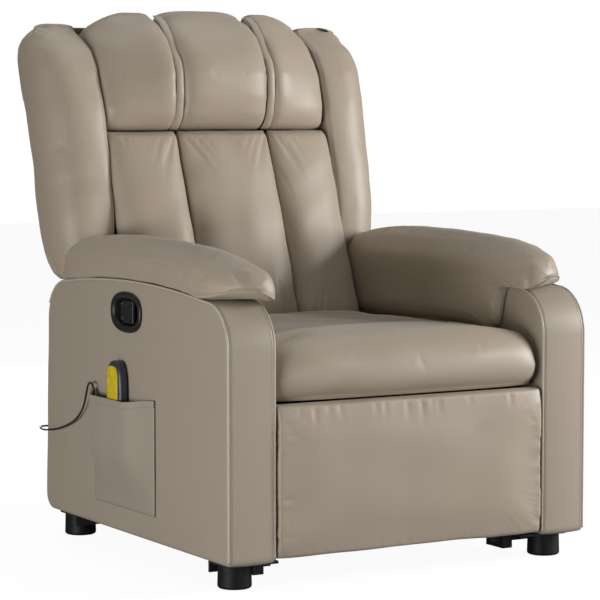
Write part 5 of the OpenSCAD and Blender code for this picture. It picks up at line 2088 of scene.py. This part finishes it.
@dataclass
class Studio:
    """Camera, lamps, floor and world."""

    camera_at: Place = (-2.4809, -4.3736, 0.8867)
    azimuth: float = -29.975
    pitch: float = 4.606
    lens: float = 151.09
    reach: float = 12.0

    def camera(self) -> None:
        """The camera at the measured place, looking level along its azimuth and down by its pitch."""
        data = bpy.data.cameras.new("camera")
        data.lens, data.sensor_width = self.lens, 36.0
        data.clip_end = 100.0
        lens = linked("camera", data)
        lens.location = self.camera_at
        lens.rotation_euler = Euler((math.radians(90 - self.pitch), 0.0, math.radians(self.azimuth)))
        bpy.context.scene.camera = lens

    def lamp(
        self, name: str, at: Place, aim: Place, size: float, power: float, tall: float | None = None
    ) -> None:
        """One soft lamp.

        Args:
            name: Its name.
            at: Where it is.
            aim: What it faces.
            size: Width in metres.
            power: Watts.
            tall: Height in metres, the width if none.
        """
        data = bpy.data.lights.new(name, "AREA")
        data.shape = "RECTANGLE"
        data.size, data.size_y = size, tall or size
        data.energy = power
        lamp = linked(name, data)
        lamp.location = at
        lamp.rotation_euler = (Vector(aim) - Vector(at)).to_track_quat("-Z", "Y").to_euler()

    def lights(self) -> None:
        """A large key at the chair's left front, low fills at its right, front and rear, a top light."""
        self.lamp("key", (3.3, -1.95, 1.4), (0.0, 0.0, 0.5), 1.6, 160.0, 1.6)
        self.lamp("fill", (-2.6, -1.0, 0.3), (-0.4, 0.0, 0.3), 1.6, 40.0, 0.6)
        self.lamp("front", (0.2, -3.8, 0.7), (0.0, 0.0, 0.4), 1.2, 16.0, 0.8)
        self.lamp("top", (0.0, 0.5, 3.0), (0.0, 0.0, 0.6), 2.2, 22.0)
        self.lamp("rear", (0.8, 3.2, 1.1), (0.0, 0.3, 0.5), 1.2, 36.0)

    def floor(self) -> None:
        """A wide plain floor, just under the feet."""
        mesh = bpy.data.meshes.new("floor")
        ends = ((-1, -1), (1, -1), (1, 1), (-1, 1))
        mesh.from_pydata([(self.reach * x, self.reach * y, -0.0005) for x, y in ends], [], [(0, 1, 2, 3)])
        floor = linked("floor", mesh)
        mesh.materials.append(Backdrop("floor_pale", (0.3, 0.3, 0.3), 0.9).material())

    def world(self) -> None:
        """A plain pale world that the camera and clear rays see as white."""
        world = bpy.data.worlds.new("studio")
        bpy.context.scene.world = world
        world.use_nodes = True
        graph = Graph(world.node_tree)
        path = graph.node("ShaderNodeLightPath")
        seen = path.out("Is Camera Ray").larger(path.out("Is Transmission Ray"))
        soft = graph.node("ShaderNodeBackground", None, {"Color": (1.0, 1.0, 1.0), "Strength": 0.1}).out()
        white = graph.node("ShaderNodeBackground", None, {"Color": (1.0, 1.0, 1.0), "Strength": 1.0}).out()
        both = graph.node("ShaderNodeMixShader", None, {0: seen, 1: soft, 2: white}).out()
        graph.node("ShaderNodeOutputWorld", None, {"Surface": both})
        bpy.context.scene.view_settings.view_transform = "Standard"


def corners(box: Sequence) -> list[list[float]]:
    """A box as plain lists of numbers."""
    return [[float(v) for v in corner] for corner in box]


def main() -> None:
    """Builds every sub-assembly in order."""
    logging.basicConfig(level=logging.INFO, format="%(name)s: %(message)s")
    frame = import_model()
    studio = Studio()
    studio.camera()
    HandsetLead().build()
    shape, arm = BackShape(), ArmShape()
    assemblies = [Channels(shape), Head(shape), Wings(shape), BackPanel(shape)]
    assemblies += [Seat(), FootrestPad(), RearApron()]
    for side in Side:
        assemblies += [SideArm(arm, side), ArmPad(arm, side)]
    assemblies += [SidePocket(), ReleaseHandle(), Handset()]
    for assembly in assemblies:
        assembly.build()
    FrameFinishes().build(frame)
    studio.floor()
    studio.lights()
    studio.world()


if __name__ == "__main__":
    main()
